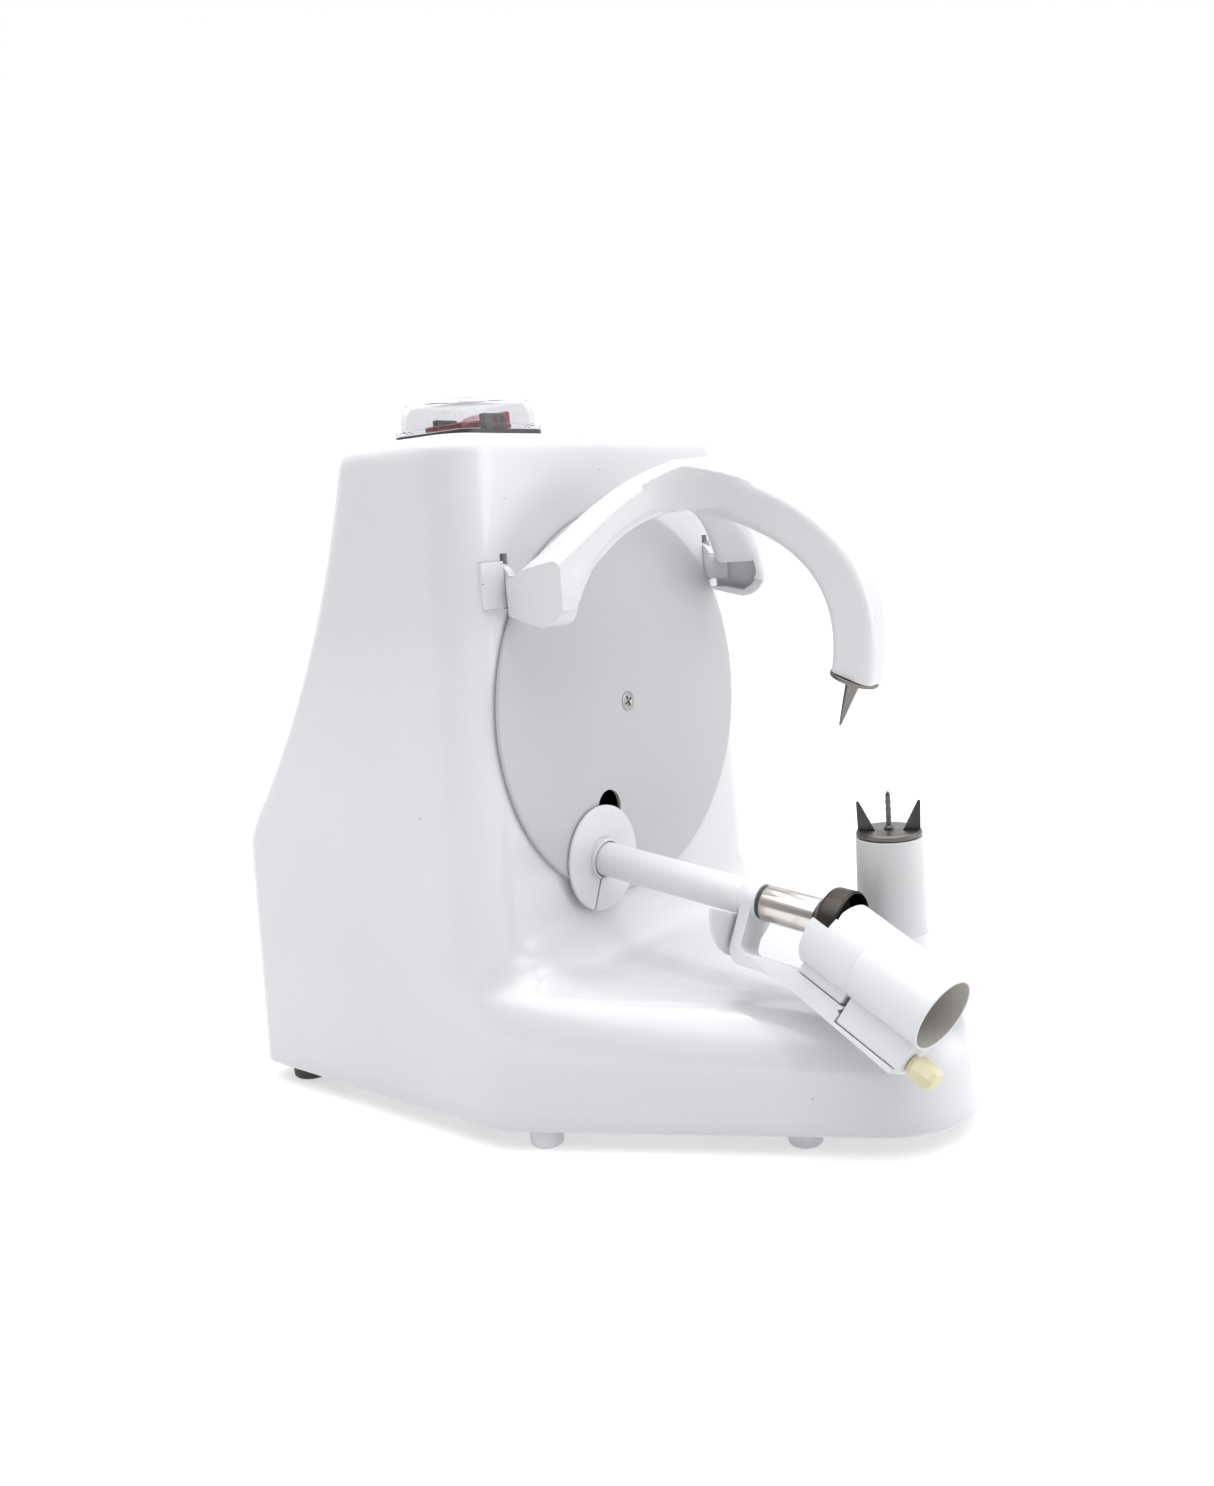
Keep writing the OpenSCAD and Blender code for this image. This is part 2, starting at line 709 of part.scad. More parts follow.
module blade_bracket() {
    color(white) at_arm() difference() {
        union() {
            rod(tube_r, tube_len, tube_len + collar_len);
            upright_prism(concat(
                [[strip_x, -2]],
                [for (a = [180:15:270]) [strip_x + bend_out + bend_out * cos(a),
                                         low_out + bend_out + bend_out * sin(a)]],
                [[mouth_x - 68, low_out - 0.2], on_chute([rail_start + 5, -rail_out]),
                 on_chute([step_at, -rail_out - 0.6]), on_chute([rib_end, -rib_out]),
                 on_chute([rib_end, -rib_in]), on_chute([step_at - slide_gap, -rib_in]),
                 on_chute([step_at - slide_gap, -rail_in - 3]), on_chute([step_at - 1.6, -rail_in - 2]),
                 on_chute([step_at - slide_gap, -rail_in - 1]), on_chute([step_at - slide_gap, -rail_in]),
                 on_chute([rail_start, -rail_in])],
                [for (a = [270:-15:180]) [strip_x + strip_t + bend_in + bend_in * cos(a),
                                          low_in + bend_in + bend_in * sin(a)]],
                [[strip_x + strip_t, -2]]), strip_w / 2);
        }
        rod(stud_r, tube_len - 1, tube_len + collar_len + 1);
    }
}

module peel_deflector() {
    color(white) at_arm() difference() {
        rod(24.5, tube_len - 1.5, tube_len);
        rod(tube_r, tube_len - 5, tube_len + 5);
        translate([tube_len - 5, -40, -tube_r]) cube([10, 80, 60]);
    }
}

module holder_seal() {
    color(dark_rubber) at_arm() difference() {
        rod(tube_r - 0.7, tube_len + collar_len, holder_x);
        rod(stud_r, tube_len, holder_x + 5);
    }
}

module blade_holder() {
    color(steel) at_arm() {
        rod(stud_r, tube_len - 12, holder_x + 5);
        along_x(holder_x) cylinder(r1 = tube_r - 0.5, r2 = tube_r, h = 0.5);
        rod(tube_r, holder_x + 0.5, cutter_x);
    }
}

cutter_wall = 1.2;
module ring_blade() {
    color(dark_steel) at_arm() along_x(cutter_x) rotate_extrude() polygon([
        [0, 0], [tube_r, 0], [tube_r + 0.4, 0.6], [cutter_r, 5], [cutter_r, cutter_len - 1],
        [cutter_r - 0.7, cutter_len], [cutter_r - cutter_wall, cutter_len - 2],
        [cutter_r - cutter_wall, 5.6], [0, 1.8]]);
}

notch_depth = 8;
notch_z = 3;
groove_at = -33;
boss_drop = 25.3;
module peel_chute() {
    color(white) difference() {
        at_chute() difference() {
            union() {
                along_x(-chute_len) cylinder(r1 = chute_rear_r, r2 = chute_mouth_r, h = chute_len);
                translate([-chute_len + 2, -6.5, -rail_in + slide_gap])
                    cube([chute_len + step_at - 2, 13, 8]);
                translate([step_at, -6.5, -boss_drop]) cube([-step_at - 0.6, 13, 15]);
            }
            rod(chute_bore_r, -chute_len - 1, 1);
            translate([-chute_len - 1, -20, notch_z]) cube([notch_depth + 1, 40, 20]);
            along_x(groove_at) difference() {
                cylinder(r = 20, h = 0.5);
                translate([0, 0, -1]) cylinder(r = 15.45, h = 3);
            }
            translate([0, 0, -knob_drop]) rod(2 + play, -12, 5);
        }
        at_arm() rod(cutter_r + 0.5, cutter_x, cutter_x + cutter_len + 0.8);
    }
}

module adjuster_knob() {
    color([0.91, 0.88, 0.68]) at_chute() translate([0, 0, -knob_drop]) {
        rod(2, -11, 3);
        rod(3.6, -0.3, 1.8);
        along_x(1.8) cylinder(r = 5.1, h = 7.6, $fn = 8);
        along_x(9.4) cylinder(r1 = 5, r2 = 3.6, h = 1.4, $fn = 8);
    }
}

// ---------- upper arm ----------
// Rounded section of the arm: width across, thickness along the outward direction.
// Across, then outward, turn like a screw that moves along the arm.
function arm_section(centre, out, across, w, t, n = 16) =
    [for (i = [0:n - 1]) let (a = 360 * i / n, c = cos(a), s = sin(a), e = 0.65)
        centre + across * (w / 2 * sign(c) * pow(abs(c), e)) + out * (t / 2 * sign(s) * pow(abs(s), e))];
function unit(v) = v / norm(v);
function bezier(p, t) = p[0] * pow(1 - t, 3) + p[1] * 3 * t * pow(1 - t, 2)
    + p[2] * 3 * pow(t, 2) * (1 - t) + p[3] * pow(t, 3);
function bezier_way(p, t) = unit((p[1] - p[0]) * pow(1 - t, 2) + (p[2] - p[1]) * 2 * t * (1 - t)
    + (p[3] - p[2]) * pow(t, 2));

// A leg runs straight in plan. Its local X points forward across it, Y outward along it,
// from where its foot stands.
leg_turn = atan(0.31);
leg_w = 20.5;
leg_foot_x = disc_x + 18.7;
leg_foot_y = 75;
module at_leg(s) side(s) translate([leg_foot_x, leg_foot_y, disc_z]) rotate(leg_turn) children();

// Distance across the object, top and bottom of the leg above the disc's centre
function leg_level(y) = [y, 103.5 - 27 * pow(y / 60, 1.68), 82.8 - 24.5 * pow(y / 60, 2.6)];
leg_levels = concat(
    [[-7, 103.5, 82.8]],
    [for (y = [0, 8, 16, 25, 34, 43, 51, 58]) leg_level(y)],
    [[63, 74.5, 52], [67, 71.7, 44], [71, 68.8, 41.5], [84, 60.5, 41]]);
function leg_width(y) = leg_w + 2.5 * max(y - 40, 0) / 36;
beam_curve = [[disc_x + 38, 0, disc_z + 94.3], [disc_x + 66.6, 0, disc_z + 86.6],
              [disc_x + 130.1, 0, disc_z + 72.3], [disc_x + 113.8, 0, disc_z + 9.5]];
beam_n = 18;

// The seam between a leg and the cup under it, in the leg's own frame
seam_z = 51.6;
seam_slope = 0.37;

module arm_leg() {
    rings_solid([for (p = leg_levels)
        arm_section([0, (p[0] - leg_foot_y) / cos(leg_turn), (p[1] + p[2]) / 2],
                    [0, 0, 1], [-1, 0, 0], leg_width(p[0]), p[1] - p[2])]);
}

module arm_beam() {
    rings_solid([for (k = [0:beam_n])
        let (t = k / beam_n, way = bezier_way(beam_curve, t))
        arm_section(bezier(beam_curve, t), cross(way, [0, 1, 0]), [0, 1, 0],
                    mix(20, 16, t), mix(beam_t, beam_t - 1.5, t))]);
}

// Everything below the seam
module below_seam() {
    translate([0, 10, seam_z]) rotate([0, atan(seam_slope), 0]) translate([-40, -40, -80]) cube([80, 80, 80]);
}

// A leg ends in a flat wall across the object, and behind that wall its foot is hollow
foot_end = 76.5;
foot_wall = 3.5;
foot_front = 11.5;
foot_back = -16;
foot_low = 41;
foot_round = 11;
module foot_solid() {
    translate([0, 10, 0]) rotate([90, 0, 0]) linear_extrude(height = 19.5) polygon(concat(
        [[foot_back, foot_low + 20], [foot_back, foot_low + 4.8], [-8, foot_low + 2], [0, foot_low]],
        [for (a = [270:10:360]) [foot_front - foot_round + foot_round * cos(a),
                                 foot_low + foot_round + foot_round * sin(a)]],
        [[foot_front, foot_low + 21]]));
}
module hollow_slice(y, top) {
    translate([0, y, 0]) rotate([90, 0, 0]) linear_extrude(height = 0.1)
        polygon([[-7.6, top], [8, top], [8.2, 52], [5, 46.5], [0.5, 44], [-7.6, 46]]);
}
module foot_hollow(s) {
    intersection() {
        at_leg(s) {
            hull() {
                hollow_slice(-16, 72.5);
                hollow_slice(12, 55);
            }
            translate([-22, -16, 46]) cube([15, 28, 14]);
        }
        side(s) translate([-50, 0, disc_z]) cube([100, foot_end - foot_wall, 100]);
    }
}
module past_foot(s) {
    side(s) translate([-50, foot_end, disc_z]) cube([150, 30, 100]);
}

module upper_arm() {
    color(white) difference() {
        union() {
            arm_beam();
            for (s = [-1, 1]) difference() {
                at_leg(s) difference() {
                    union() {
                        arm_leg();
                        foot_solid();
                    }
                    below_seam();
                }
                past_foot(s);
                foot_hollow(s);
            }
        }
        at_plate() {
            translate([-30, -30, -60]) cube([60, 60, 60 + gap]);
            cylinder(r = bush_out_r, h = 15);
        }
        for (s = [-1, 1]) side(s) tongue(0);
    }
}

bush_out_r = 5;
module spike_bush() {
    color([0.6, 0.45, 0.25]) at_plate() difference() {
        translate([0, 0, gap]) cylinder(r = bush_out_r, h = 14.7);
        cylinder(r = shank_r + play, h = 30);
    }
}

module spike_plate() {
    color(steel) at_plate() {
        translate([0, 0, -plate_t]) cylinder(r = plate_r, h = plate_t);
        cylinder(r = shank_r, h = 14);
        translate([0, 0, -spike_len]) cylinder(r1 = 0.5, r2 = 3.2, h = spike_len - plate_t);
    }
}

// Flat tongue from the hinge to the foot
module tongue(hole_r) {
    difference() {
        translate([hinge_x, 0, hinge_z]) {
            cross_rod(lug_r - 0.5, tongue_in, tongue_out);
            translate([0, tongue_in, -8.8]) cube([18, tongue_out - tongue_in, 12]);
        }
        if (hole_r > 0) translate([hinge_x, 0, hinge_z]) cross_rod(hole_r, 60, 80);
    }
}

module arm_foot(s) {
    color(white) {
        difference() {
            at_leg(s) intersection() {
                foot_solid();
                below_seam();
            }
            past_foot(s);
            foot_hollow(s);
        }
        side(s) tongue(hinge_pin_r + play);
    }
}
module arm_foot_left() arm_foot(1);
module arm_foot_right() arm_foot(-1);

// The hub's face follows the tower's rounded corner
module hub(s) {
    color(white) side(s) difference() {
        intersection() {
            translate([hinge_x - 11, lug_in, hinge_z - lug_r]) cube([22, lug_out - lug_in, 2 * lug_r]);
            linear_extrude(height = tower_top) polygon([for (p = whole(
                [for (q = tower_half(hinge_z, -lug_proud)) level(q, 0)])) [p[0], p[1]]]);
        }
        translate([hinge_x, 0, hinge_z]) cross_rod(hinge_pin_r, hinge_in, lug_out - 1);
    }
}
module hub_left() hub(1);
module hub_right() hub(-1);

module hub_pin(s) {
    color(steel) side(s) translate([hinge_x, 0, hinge_z])
        cross_rod(hinge_pin_r, hinge_in, lug_out - 1);
}
module hub_pin_left() hub_pin(1);
module hub_pin_right() hub_pin(-1);

// ---------- switch and inlet ----------
module rounded_slab(x, y, h, r) {
    hull() for (i = [-1, 1], j = [-1, 1])
        translate([i * (x / 2 - r), j * (y / 2 - r), 0]) cylinder(r = r, h = h, $fn = 32);
}

module at_switch() translate([switch_x, switch_y, tower_top]) children();

rocker_pivot = 5.5;
module switch_frame() {
    color([0.1, 0.1, 0.11]) at_switch() difference() {
        union() {
            rounded_slab(switch_w, switch_len, 2.2, 6);
            for (s = [-1, 1]) translate([s * 13.5 - 1.5, -6, 2.2]) cube([3, 12, 7]);
        }
        translate([-11, -17, -1]) cube([22, 34, 5]);
        translate([0, 0, rocker_pivot]) rod(1.5 + play, -20, 20);
    }
}

module switch_cover() {
    color([0.5, 0.52, 0.55, 0.5]) at_switch() translate([0, 0, 2.2]) difference() {
        union() {
            rounded_slab(switch_w, switch_len, flange_h - 2.2, 6);
            hull() {
                translate([0, 0, 1]) linear_extrude(height = 6)
                    square([switch_w - 7, switch_len - 7], center = true);
                translate([0, 0, cover_h - 3.2]) linear_extrude(height = 1)
                    square([switch_w - 10, switch_len - 10], center = true);
            }
        }
        hull() {
            translate([0, 0, -0.1]) linear_extrude(height = 6)
                square([switch_w - 10, switch_len - 10], center = true);
            translate([0, 0, cover_h - 4.4]) linear_extrude(height = 0.6)
                square([switch_w - 13, switch_len - 13], center = true);
        }
    }
}

module switch_rocker() {
    color([0.6, 0.05, 0.08]) at_switch() {
        rotate([90, 0, 90]) linear_extrude(height = 20, center = true) polygon([
            [-15, 4.2], [-4, 1.5], [4, 1.5], [15, 4.2], [15, 10.5], [13.5, 11], [0, 6.8], [-13.5, 5.6],
            [-15, 5.2]]);
        translate([0, 0, rocker_pivot]) rod(1.5, -14.8, 14.8);
    }
}

module switch_body() {
    color([0.1, 0.1, 0.11]) at_switch() {
        translate([-11, -17, -24]) cube([22, 34, 24]);
        for (y = [-10, 0, 10]) translate([-0.4, y - 3, -32]) cube([0.8, 6, 8]);
    }
}

module mains_inlet() {
    color([0.1, 0.1, 0.11]) difference() {
        union() {
            translate([back_plane - 1.5, 42, 18]) cube([1.5, 36, 24]);
            translate([back_plane, 46, 20]) cube([18, 28, 20]);
        }
        translate([back_plane - 5, 48.5, 22.5]) cube([18, 23, 15]);
    }
}

housing();
base_plate();
base_screws();
foot_tower_left();
foot_tower_right();
foot_nose_left();
foot_nose_right();
foot_rear_left();
foot_rear_right();
post_collar();
spindle_post();
spindle_bush();
step_bearing();
spindle_shaft();
fork_cap();
centre_pin();
driven_pulley();
drive_belt();
drive_pulley();
spindle_motor();
motor_mount();
chassis_plate();
disc();
disc_screw();
disc_shaft();
disc_bearing();
disc_gear();
disc_pinion();
disc_motor();
arm_clevis();
arm_pivot_pin();
arm_spring();
slot_cover();
arm_tube();
blade_bracket();
peel_deflector();
holder_seal();
blade_holder();
ring_blade();
peel_chute();
adjuster_knob();
upper_arm();
arm_foot_left();
arm_foot_right();
hub_left();
hub_right();
hub_pin_left();
hub_pin_right();
spike_bush();
spike_plate();
switch_frame();
switch_cover();
switch_rocker();
switch_body();
mains_inlet();
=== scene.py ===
import math

import bmesh
import bpy
from mathutils import Matrix, Vector


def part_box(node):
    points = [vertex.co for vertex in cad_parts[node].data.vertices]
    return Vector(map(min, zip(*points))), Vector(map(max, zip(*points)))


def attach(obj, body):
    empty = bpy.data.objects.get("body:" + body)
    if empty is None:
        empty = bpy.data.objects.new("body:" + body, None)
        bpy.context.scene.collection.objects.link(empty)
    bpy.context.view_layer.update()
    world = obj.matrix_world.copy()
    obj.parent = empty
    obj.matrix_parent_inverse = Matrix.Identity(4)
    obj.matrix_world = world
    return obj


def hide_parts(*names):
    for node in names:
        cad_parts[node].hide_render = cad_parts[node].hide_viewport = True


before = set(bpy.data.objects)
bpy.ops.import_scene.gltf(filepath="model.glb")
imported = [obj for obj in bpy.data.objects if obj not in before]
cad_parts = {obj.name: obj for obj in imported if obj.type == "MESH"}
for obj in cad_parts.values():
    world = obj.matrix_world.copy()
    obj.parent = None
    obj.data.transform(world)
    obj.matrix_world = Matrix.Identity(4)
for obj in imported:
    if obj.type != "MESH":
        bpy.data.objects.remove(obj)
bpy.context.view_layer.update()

MM = 0.001
scene = bpy.context.scene

# ---------------------------------------------------------------- places, from the frame
def box_mm(node):
    low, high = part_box(node)
    return low / MM, high / MM


disc_low, disc_high = box_mm("disc")
DISC = Vector((disc_high.x, 0, (disc_low.z + disc_high.z) / 2))
DISC_R = (disc_high.z - disc_low.z) / 2
house_low, house_high = box_mm("housing")
UNDERSIDE = house_low.z
TOWER_TOP = house_high.z
FOOT_HALF_W = house_high.y
cap_low, cap_high = box_mm("spindle_post")
SPINDLE = Vector(((cap_low.x + cap_high.x) / 2, 0, cap_high.z))
frame_low, frame_high = box_mm("switch_frame")
SWITCH = Vector(((frame_low.x + frame_high.x) / 2, (frame_low.y + frame_high.y) / 2, TOWER_TOP))

# The arm's pivot from the disc's middle, the chute's mouth from that pivot, the spike's plate from the
# disc's middle, and the angles at rest
PIVOT_BACK, PIVOT_DOWN = 60, 64.65
MOUTH_ALONG, MOUTH_DOWN = 230.6, 22.4
PLATE_AHEAD, PLATE_UP = 113.8, 12.7
PARK = math.radians(23)
ARM_TILT = math.radians(6.5)
CHUTE_TURN = math.radians(19.4)
SPIKE_TILT = math.radians(21)


def turn(angle, axis):
    return Matrix.Rotation(angle, 4, axis)


def move(x, y, z):
    return Matrix.Translation((x, y, z))


ALONG_X = turn(math.pi / 2, "Y")
ALONG_Y = turn(-math.pi / 2, "X")
AT_DISC = Matrix.Translation(DISC) @ turn(-PARK, "X")
AT_ARM = AT_DISC @ move(-PIVOT_BACK, 0, -PIVOT_DOWN) @ turn(ARM_TILT, "Y")
AT_CHUTE = AT_ARM @ move(MOUTH_ALONG, 0, -MOUTH_DOWN) @ turn(CHUTE_TURN, "Y")
AT_PLATE = Matrix.Translation(DISC) @ move(PLATE_AHEAD, 0, PLATE_UP) @ turn(SPIKE_TILT, "Y")
AT_SPINDLE = move(SPINDLE.x, 0, 0)
AT_SWITCH = Matrix.Translation(SWITCH)


# ---------------------------------------------------------------- mesh tools
def mesh_object(name, points, faces, place=None):
    """A new object from points in millimetres."""
    place = place or Matrix.Identity(4)
    mesh = bpy.data.meshes.new(name)
    mesh.from_pydata([(place @ Vector(p)) * MM for p in points], [], faces)
    thing = bpy.data.objects.new(name, mesh)
    scene.collection.objects.link(thing)
    return thing


def rings_mesh(name, rings, place=None):
    """Skin over stacked rings of equal length, with a cap on each end."""
    n = len(rings[0])
    points = [p for ring in rings for p in ring]
    faces = [(k * n + i, k * n + (i + 1) % n, (k + 1) * n + (i + 1) % n, (k + 1) * n + i)
             for k in range(len(rings) - 1) for i in range(n)]
    faces.append(tuple(range(n - 1, -1, -1)))
    faces.append(tuple((len(rings) - 1) * n + i for i in range(n)))
    return mesh_object(name, points, faces, place)


def rounded(points, radius, steps=5, closed=True):
    """The outline with its corners turned into arcs. radius is one number, or one for each corner."""
    out = []
    n = len(points)
    for i, p in enumerate(points):
        r = radius[i] if isinstance(radius, (list, tuple)) else radius
        if r <= 0 or (not closed and i in (0, n - 1)):
            out.append(tuple(p))
            continue
        p = Vector(p)
        a = Vector(points[i - 1]) - p
        b = Vector(points[(i + 1) % n]) - p
        half = a.angle(b) / 2
        reach = min(r / math.tan(half), 0.49 * a.length, 0.49 * b.length)
        r = reach * math.tan(half)
        centre = p + (a.normalized() + b.normalized()).normalized() * (r / math.sin(half))
        start = p + a.normalized() * reach - centre
        end = p + b.normalized() * reach - centre
        spread = start.angle(end)
        for k in range(steps + 1):
            t = k / steps
            d = (start * math.sin((1 - t) * spread) + end * math.sin(t * spread)) / math.sin(spread)
            out.append(tuple(centre + d))
    return out


def lathe(name, outline, place=None, segments=96):
    """Turns a closed outline of (radius, height) round the local Z axis. Radius 0 lies on the axis."""
    on_axis = [r < 1e-6 for r, h in outline]
    points = []
    index = []
    for (r, h), centred in zip(outline, on_axis):
        if centred:
            index.append([len(points)] * segments)
            points.append((0, 0, h))
        else:
            index.append([len(points) + k for k in range(segments)])
            points += [(r * math.cos(2 * math.pi * k / segments), r * math.sin(2 * math.pi * k / segments), h)
                       for k in range(segments)]
    faces = []
    for i in range(len(outline)):
        following = (i + 1) % len(outline)
        if on_axis[i] and on_axis[following]:
            continue
        a, b = index[i], index[following]
        for k in range(segments):
            j = (k + 1) % segments
            faces.append(tuple(dict.fromkeys((a[k], a[j], b[j], b[k]))))
    thing = mesh_object(name, points, faces, place)
    outward(thing)
    return thing


def prism(name, outline, low, high, place=None, axis="Y"):
    """A closed outline swept straight along an axis, from low to high."""
    def point(p, h):
        if axis == "Y":
            return (p[0], h, p[1])
        if axis == "X":
            return (h, p[0], p[1])
        return (p[0], p[1], h)
    rings = [[point(p, h) for p in outline] for h in (low, high)]
    thing = rings_mesh(name, rings, place)
    outward(thing)
    return thing


def box(name, low, high, place=None):
    return prism(name, [(low[0], low[2]), (high[0], low[2]), (high[0], high[2]), (low[0], high[2])],
                 low[1], high[1], place)


def rod(name, radius, low, high, place=None, segments=64):
    return lathe(name, [(0, low), (radius, low), (radius, high), (0, high)], place, segments)


def outward(thing):
    """Merges doubled points and turns every face outward."""
    work = bmesh.new()
    work.from_mesh(thing.data)
    bmesh.ops.remove_doubles(work, verts=work.verts, dist=1e-7)
    bmesh.ops.recalc_face_normals(work, faces=work.faces)
    work.to_mesh(thing.data)
    work.free()


def bake(thing):
    """Applies the object's modifiers to its mesh."""
    graph = bpy.context.evaluated_depsgraph_get()
    mesh = bpy.data.meshes.new_from_object(thing.evaluated_get(graph))
    old = thing.data
    thing.modifiers.clear()
    thing.data = mesh
    bpy.data.meshes.remove(old)


def combine(thing, tools, operation="DIFFERENCE"):
    """Cuts the tools out of the object, or joins them to it, and removes them."""
    for tool in tools:
        modifier = thing.modifiers.new("combine", "BOOLEAN")
        modifier.operation = operation
        modifier.solver = "EXACT"
        modifier.object = tool
    bpy.context.view_layer.update()
    bake(thing)
    for tool in tools:
        mesh = tool.data
        bpy.data.objects.remove(tool)
        bpy.data.meshes.remove(mesh)
    return thing


def soften(thing, width, steps=3, angle=32):
    """Small round on every sharp edge."""
    work = bmesh.new()
    work.from_mesh(thing.data)
    bmesh.ops.remove_doubles(work, verts=work.verts, dist=2e-6)
    bmesh.ops.dissolve_limit(work, angle_limit=math.radians(0.6), verts=work.verts, edges=work.edges)
    work.to_mesh(thing.data)
    work.free()
    modifier = thing.modifiers.new("round", "BEVEL")
    modifier.width = width * MM
    modifier.segments = steps
    modifier.limit_method = "ANGLE"
    modifier.angle_limit = math.radians(angle)
    modifier.use_clamp_overlap = True
    modifier.miter_outer = "MITER_ARC"
    bpy.context.view_layer.update()
    bake(thing)
    return thing


def smooth(thing, angle=34):
    """Smooth shading, with creases where the surface turns sharply."""
    work = bmesh.new()
    work.from_mesh(thing.data)
    for face in work.faces:
        face.smooth = True
    for edge in work.edges:
        edge.smooth = len(edge.link_faces) == 2 and edge.calc_face_angle(0) < math.radians(angle)
    work.to_mesh(thing.data)
    work.free()


def copy_of(node, name):
    """A free copy of a CAD node's mesh, without materials."""
    thing = bpy.data.objects.new(name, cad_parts[node].data.copy())
    thing.data.materials.clear()
    scene.collection.objects.link(thing)
    return thing


def piece(thing, body, nodes, material, angle=34):
    """Finishes a visible piece: shading, material, the body it rides on and the nodes it stands for."""
    smooth(thing, angle)
    thing.data.materials.clear()
    thing.data.materials.append(material)
    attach(thing, body)
    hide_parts(*nodes)
    return thing


# ---------------------------------------------------------------- materials
class Nodes:
    """Short hand for building a node tree around a Principled shader."""

    def __init__(self, name):
        self.material = bpy.data.materials.new(name)
        self.material.use_nodes = True
        self.tree = self.material.node_tree
        self.shader = self.tree.nodes["Principled BSDF"]
        self.place = self.tree.nodes.new("ShaderNodeTexCoord").outputs["Object"]

    def link(self, source, target):
        self.tree.links.new(source, target)

    def set(self, **values):
        for key, value in values.items():
            self.shader.inputs[key.replace("_", " ")].default_value = value

    def noise(self, scale, detail=2.0, stretch=None, spin=(0, 0, 0), rough=0.5):
        node = self.tree.nodes.new("ShaderNodeTexNoise")
        node.inputs["Scale"].default_value = scale
        node.inputs["Detail"].default_value = detail
        node.inputs["Roughness"].default_value = rough
        source = self.place
        if stretch:
            mapping = self.tree.nodes.new("ShaderNodeMapping")
            mapping.vector_type = "TEXTURE"
            mapping.inputs["Rotation"].default_value = spin
            mapping.inputs["Scale"].default_value = stretch
            self.link(source, mapping.inputs["Vector"])
            source = mapping.outputs["Vector"]
        self.link(source, node.inputs["Vector"])
        return node.outputs["Fac"]

    def span(self, source, low, high, to_low, to_high):
        node = self.tree.nodes.new("ShaderNodeMapRange")
        for key, value in (("From Min", low), ("From Max", high), ("To Min", to_low), ("To Max", to_high)):
            node.inputs[key].default_value = value
        self.link(source, node.inputs["Value"])
        return node.outputs["Result"]

    def math(self, operation, a, b):
        node = self.tree.nodes.new("ShaderNodeMath")
        node.operation = operation
        for socket, value in zip(node.inputs, (a, b)):
            if isinstance(value, (int, float)):
                socket.default_value = value
            else:
                self.link(value, socket)
        return node.outputs["Value"]

    def mix(self, factor, a, b):
        node = self.tree.nodes.new("ShaderNodeMix")
        node.data_type = "RGBA"
        self.link(factor, node.inputs["Factor"])
        for socket, value in ((node.inputs[6], a), (node.inputs[7], b)):
            if isinstance(value, tuple):
                socket.default_value = value
            else:
                self.link(value, socket)
        return node.outputs[2]

    def specks(self, scale, size, share):
        """1 inside small round specks, scattered through space, else 0."""
        cell = self.tree.nodes.new("ShaderNodeTexVoronoi")
        cell.inputs["Scale"].default_value = scale
        cell.inputs["Randomness"].default_value = 1.0
        self.link(self.place, cell.inputs["Vector"])
        chosen = self.tree.nodes.new("ShaderNodeSeparateColor")
        self.link(cell.outputs["Color"], chosen.inputs["Color"])
        near = self.math("LESS_THAN", cell.outputs["Distance"], size)
        few = self.math("LESS_THAN", chosen.outputs["Red"], share)
        return self.math("MULTIPLY", near, few)

    def bump(self, source, height, distance=0.0002):
        node = self.tree.nodes.new("ShaderNodeBump")
        node.inputs["Strength"].default_value = height
        node.inputs["Distance"].default_value = distance
        self.link(source, node.inputs["Height"])
        self.link(node.outputs["Normal"], self.shader.inputs["Normal"])


DIRT = (0.10, 0.085, 0.07, 1)


def grey(value, warm=0.0):
    return (value * (1 + warm), value, value * (1 - warm), 1.0)


def moulding(name, colour, stain, rough, coat, specks=0.12, wear=0.08):
    """Moulded plastic: faint clouding, fine surface ripple, hairline scratches and a few dark specks."""
    n = Nodes(name)
    cloud = n.noise(9, 4)
    tone = n.mix(n.span(cloud, 0.35, 0.75, 0, 1), colour, stain)
    fine = n.specks(38, 0.018, specks)
    pits = n.specks(95, 0.035, specks * 0.45)
    dirt = n.math("MULTIPLY", n.math("MAXIMUM", fine, pits), 0.75)
    n.link(n.mix(dirt, tone, DIRT), n.shader.inputs["Base Color"])
    scratch = n.noise(60, 3, (1, 0.02, 0.02), (0.4, 0.9, 0.5))
    lines = n.span(scratch, 0.62, 0.70, 0, wear)
    haze = n.span(n.noise(22, 5), 0.3, 0.8, rough, rough + 0.07)
    n.link(n.math("ADD", haze, lines), n.shader.inputs["Roughness"])
    n.set(Coat_Weight=coat, Coat_Roughness=0.06, Coat_IOR=1.5, IOR=1.48)
    n.bump(n.math("ADD", n.noise(260, 2), n.math("MULTIPLY", dirt, -1.5)), 0.045)
    return n.material


def brushed(name, light, dark, rough, spin, grain=900, stains=None):
    """Steel with fine lines along one direction, cloudy wear and a few stains."""
    n = Nodes(name)
    lines = n.noise(grain, 3, (1, 0.01, 0.01), spin, 0.65)
    cloud = n.noise(70, 4)
    tone = n.mix(n.span(lines, 0.3, 0.7, 0, 1), dark, light)
    if stains:
        tone = n.mix(n.span(cloud, 0.5, 0.72, 0, 0.65), tone, stains)
    n.link(tone, n.shader.inputs["Base Color"])
    n.link(n.math("ADD", n.span(lines, 0.2, 0.8, rough - 0.05, rough + 0.09),
                  n.span(cloud, 0.45, 0.8, 0, 0.1)), n.shader.inputs["Roughness"])
    n.set(Metallic=1.0)
    n.bump(lines, 0.09, 0.0001)
    return n.material


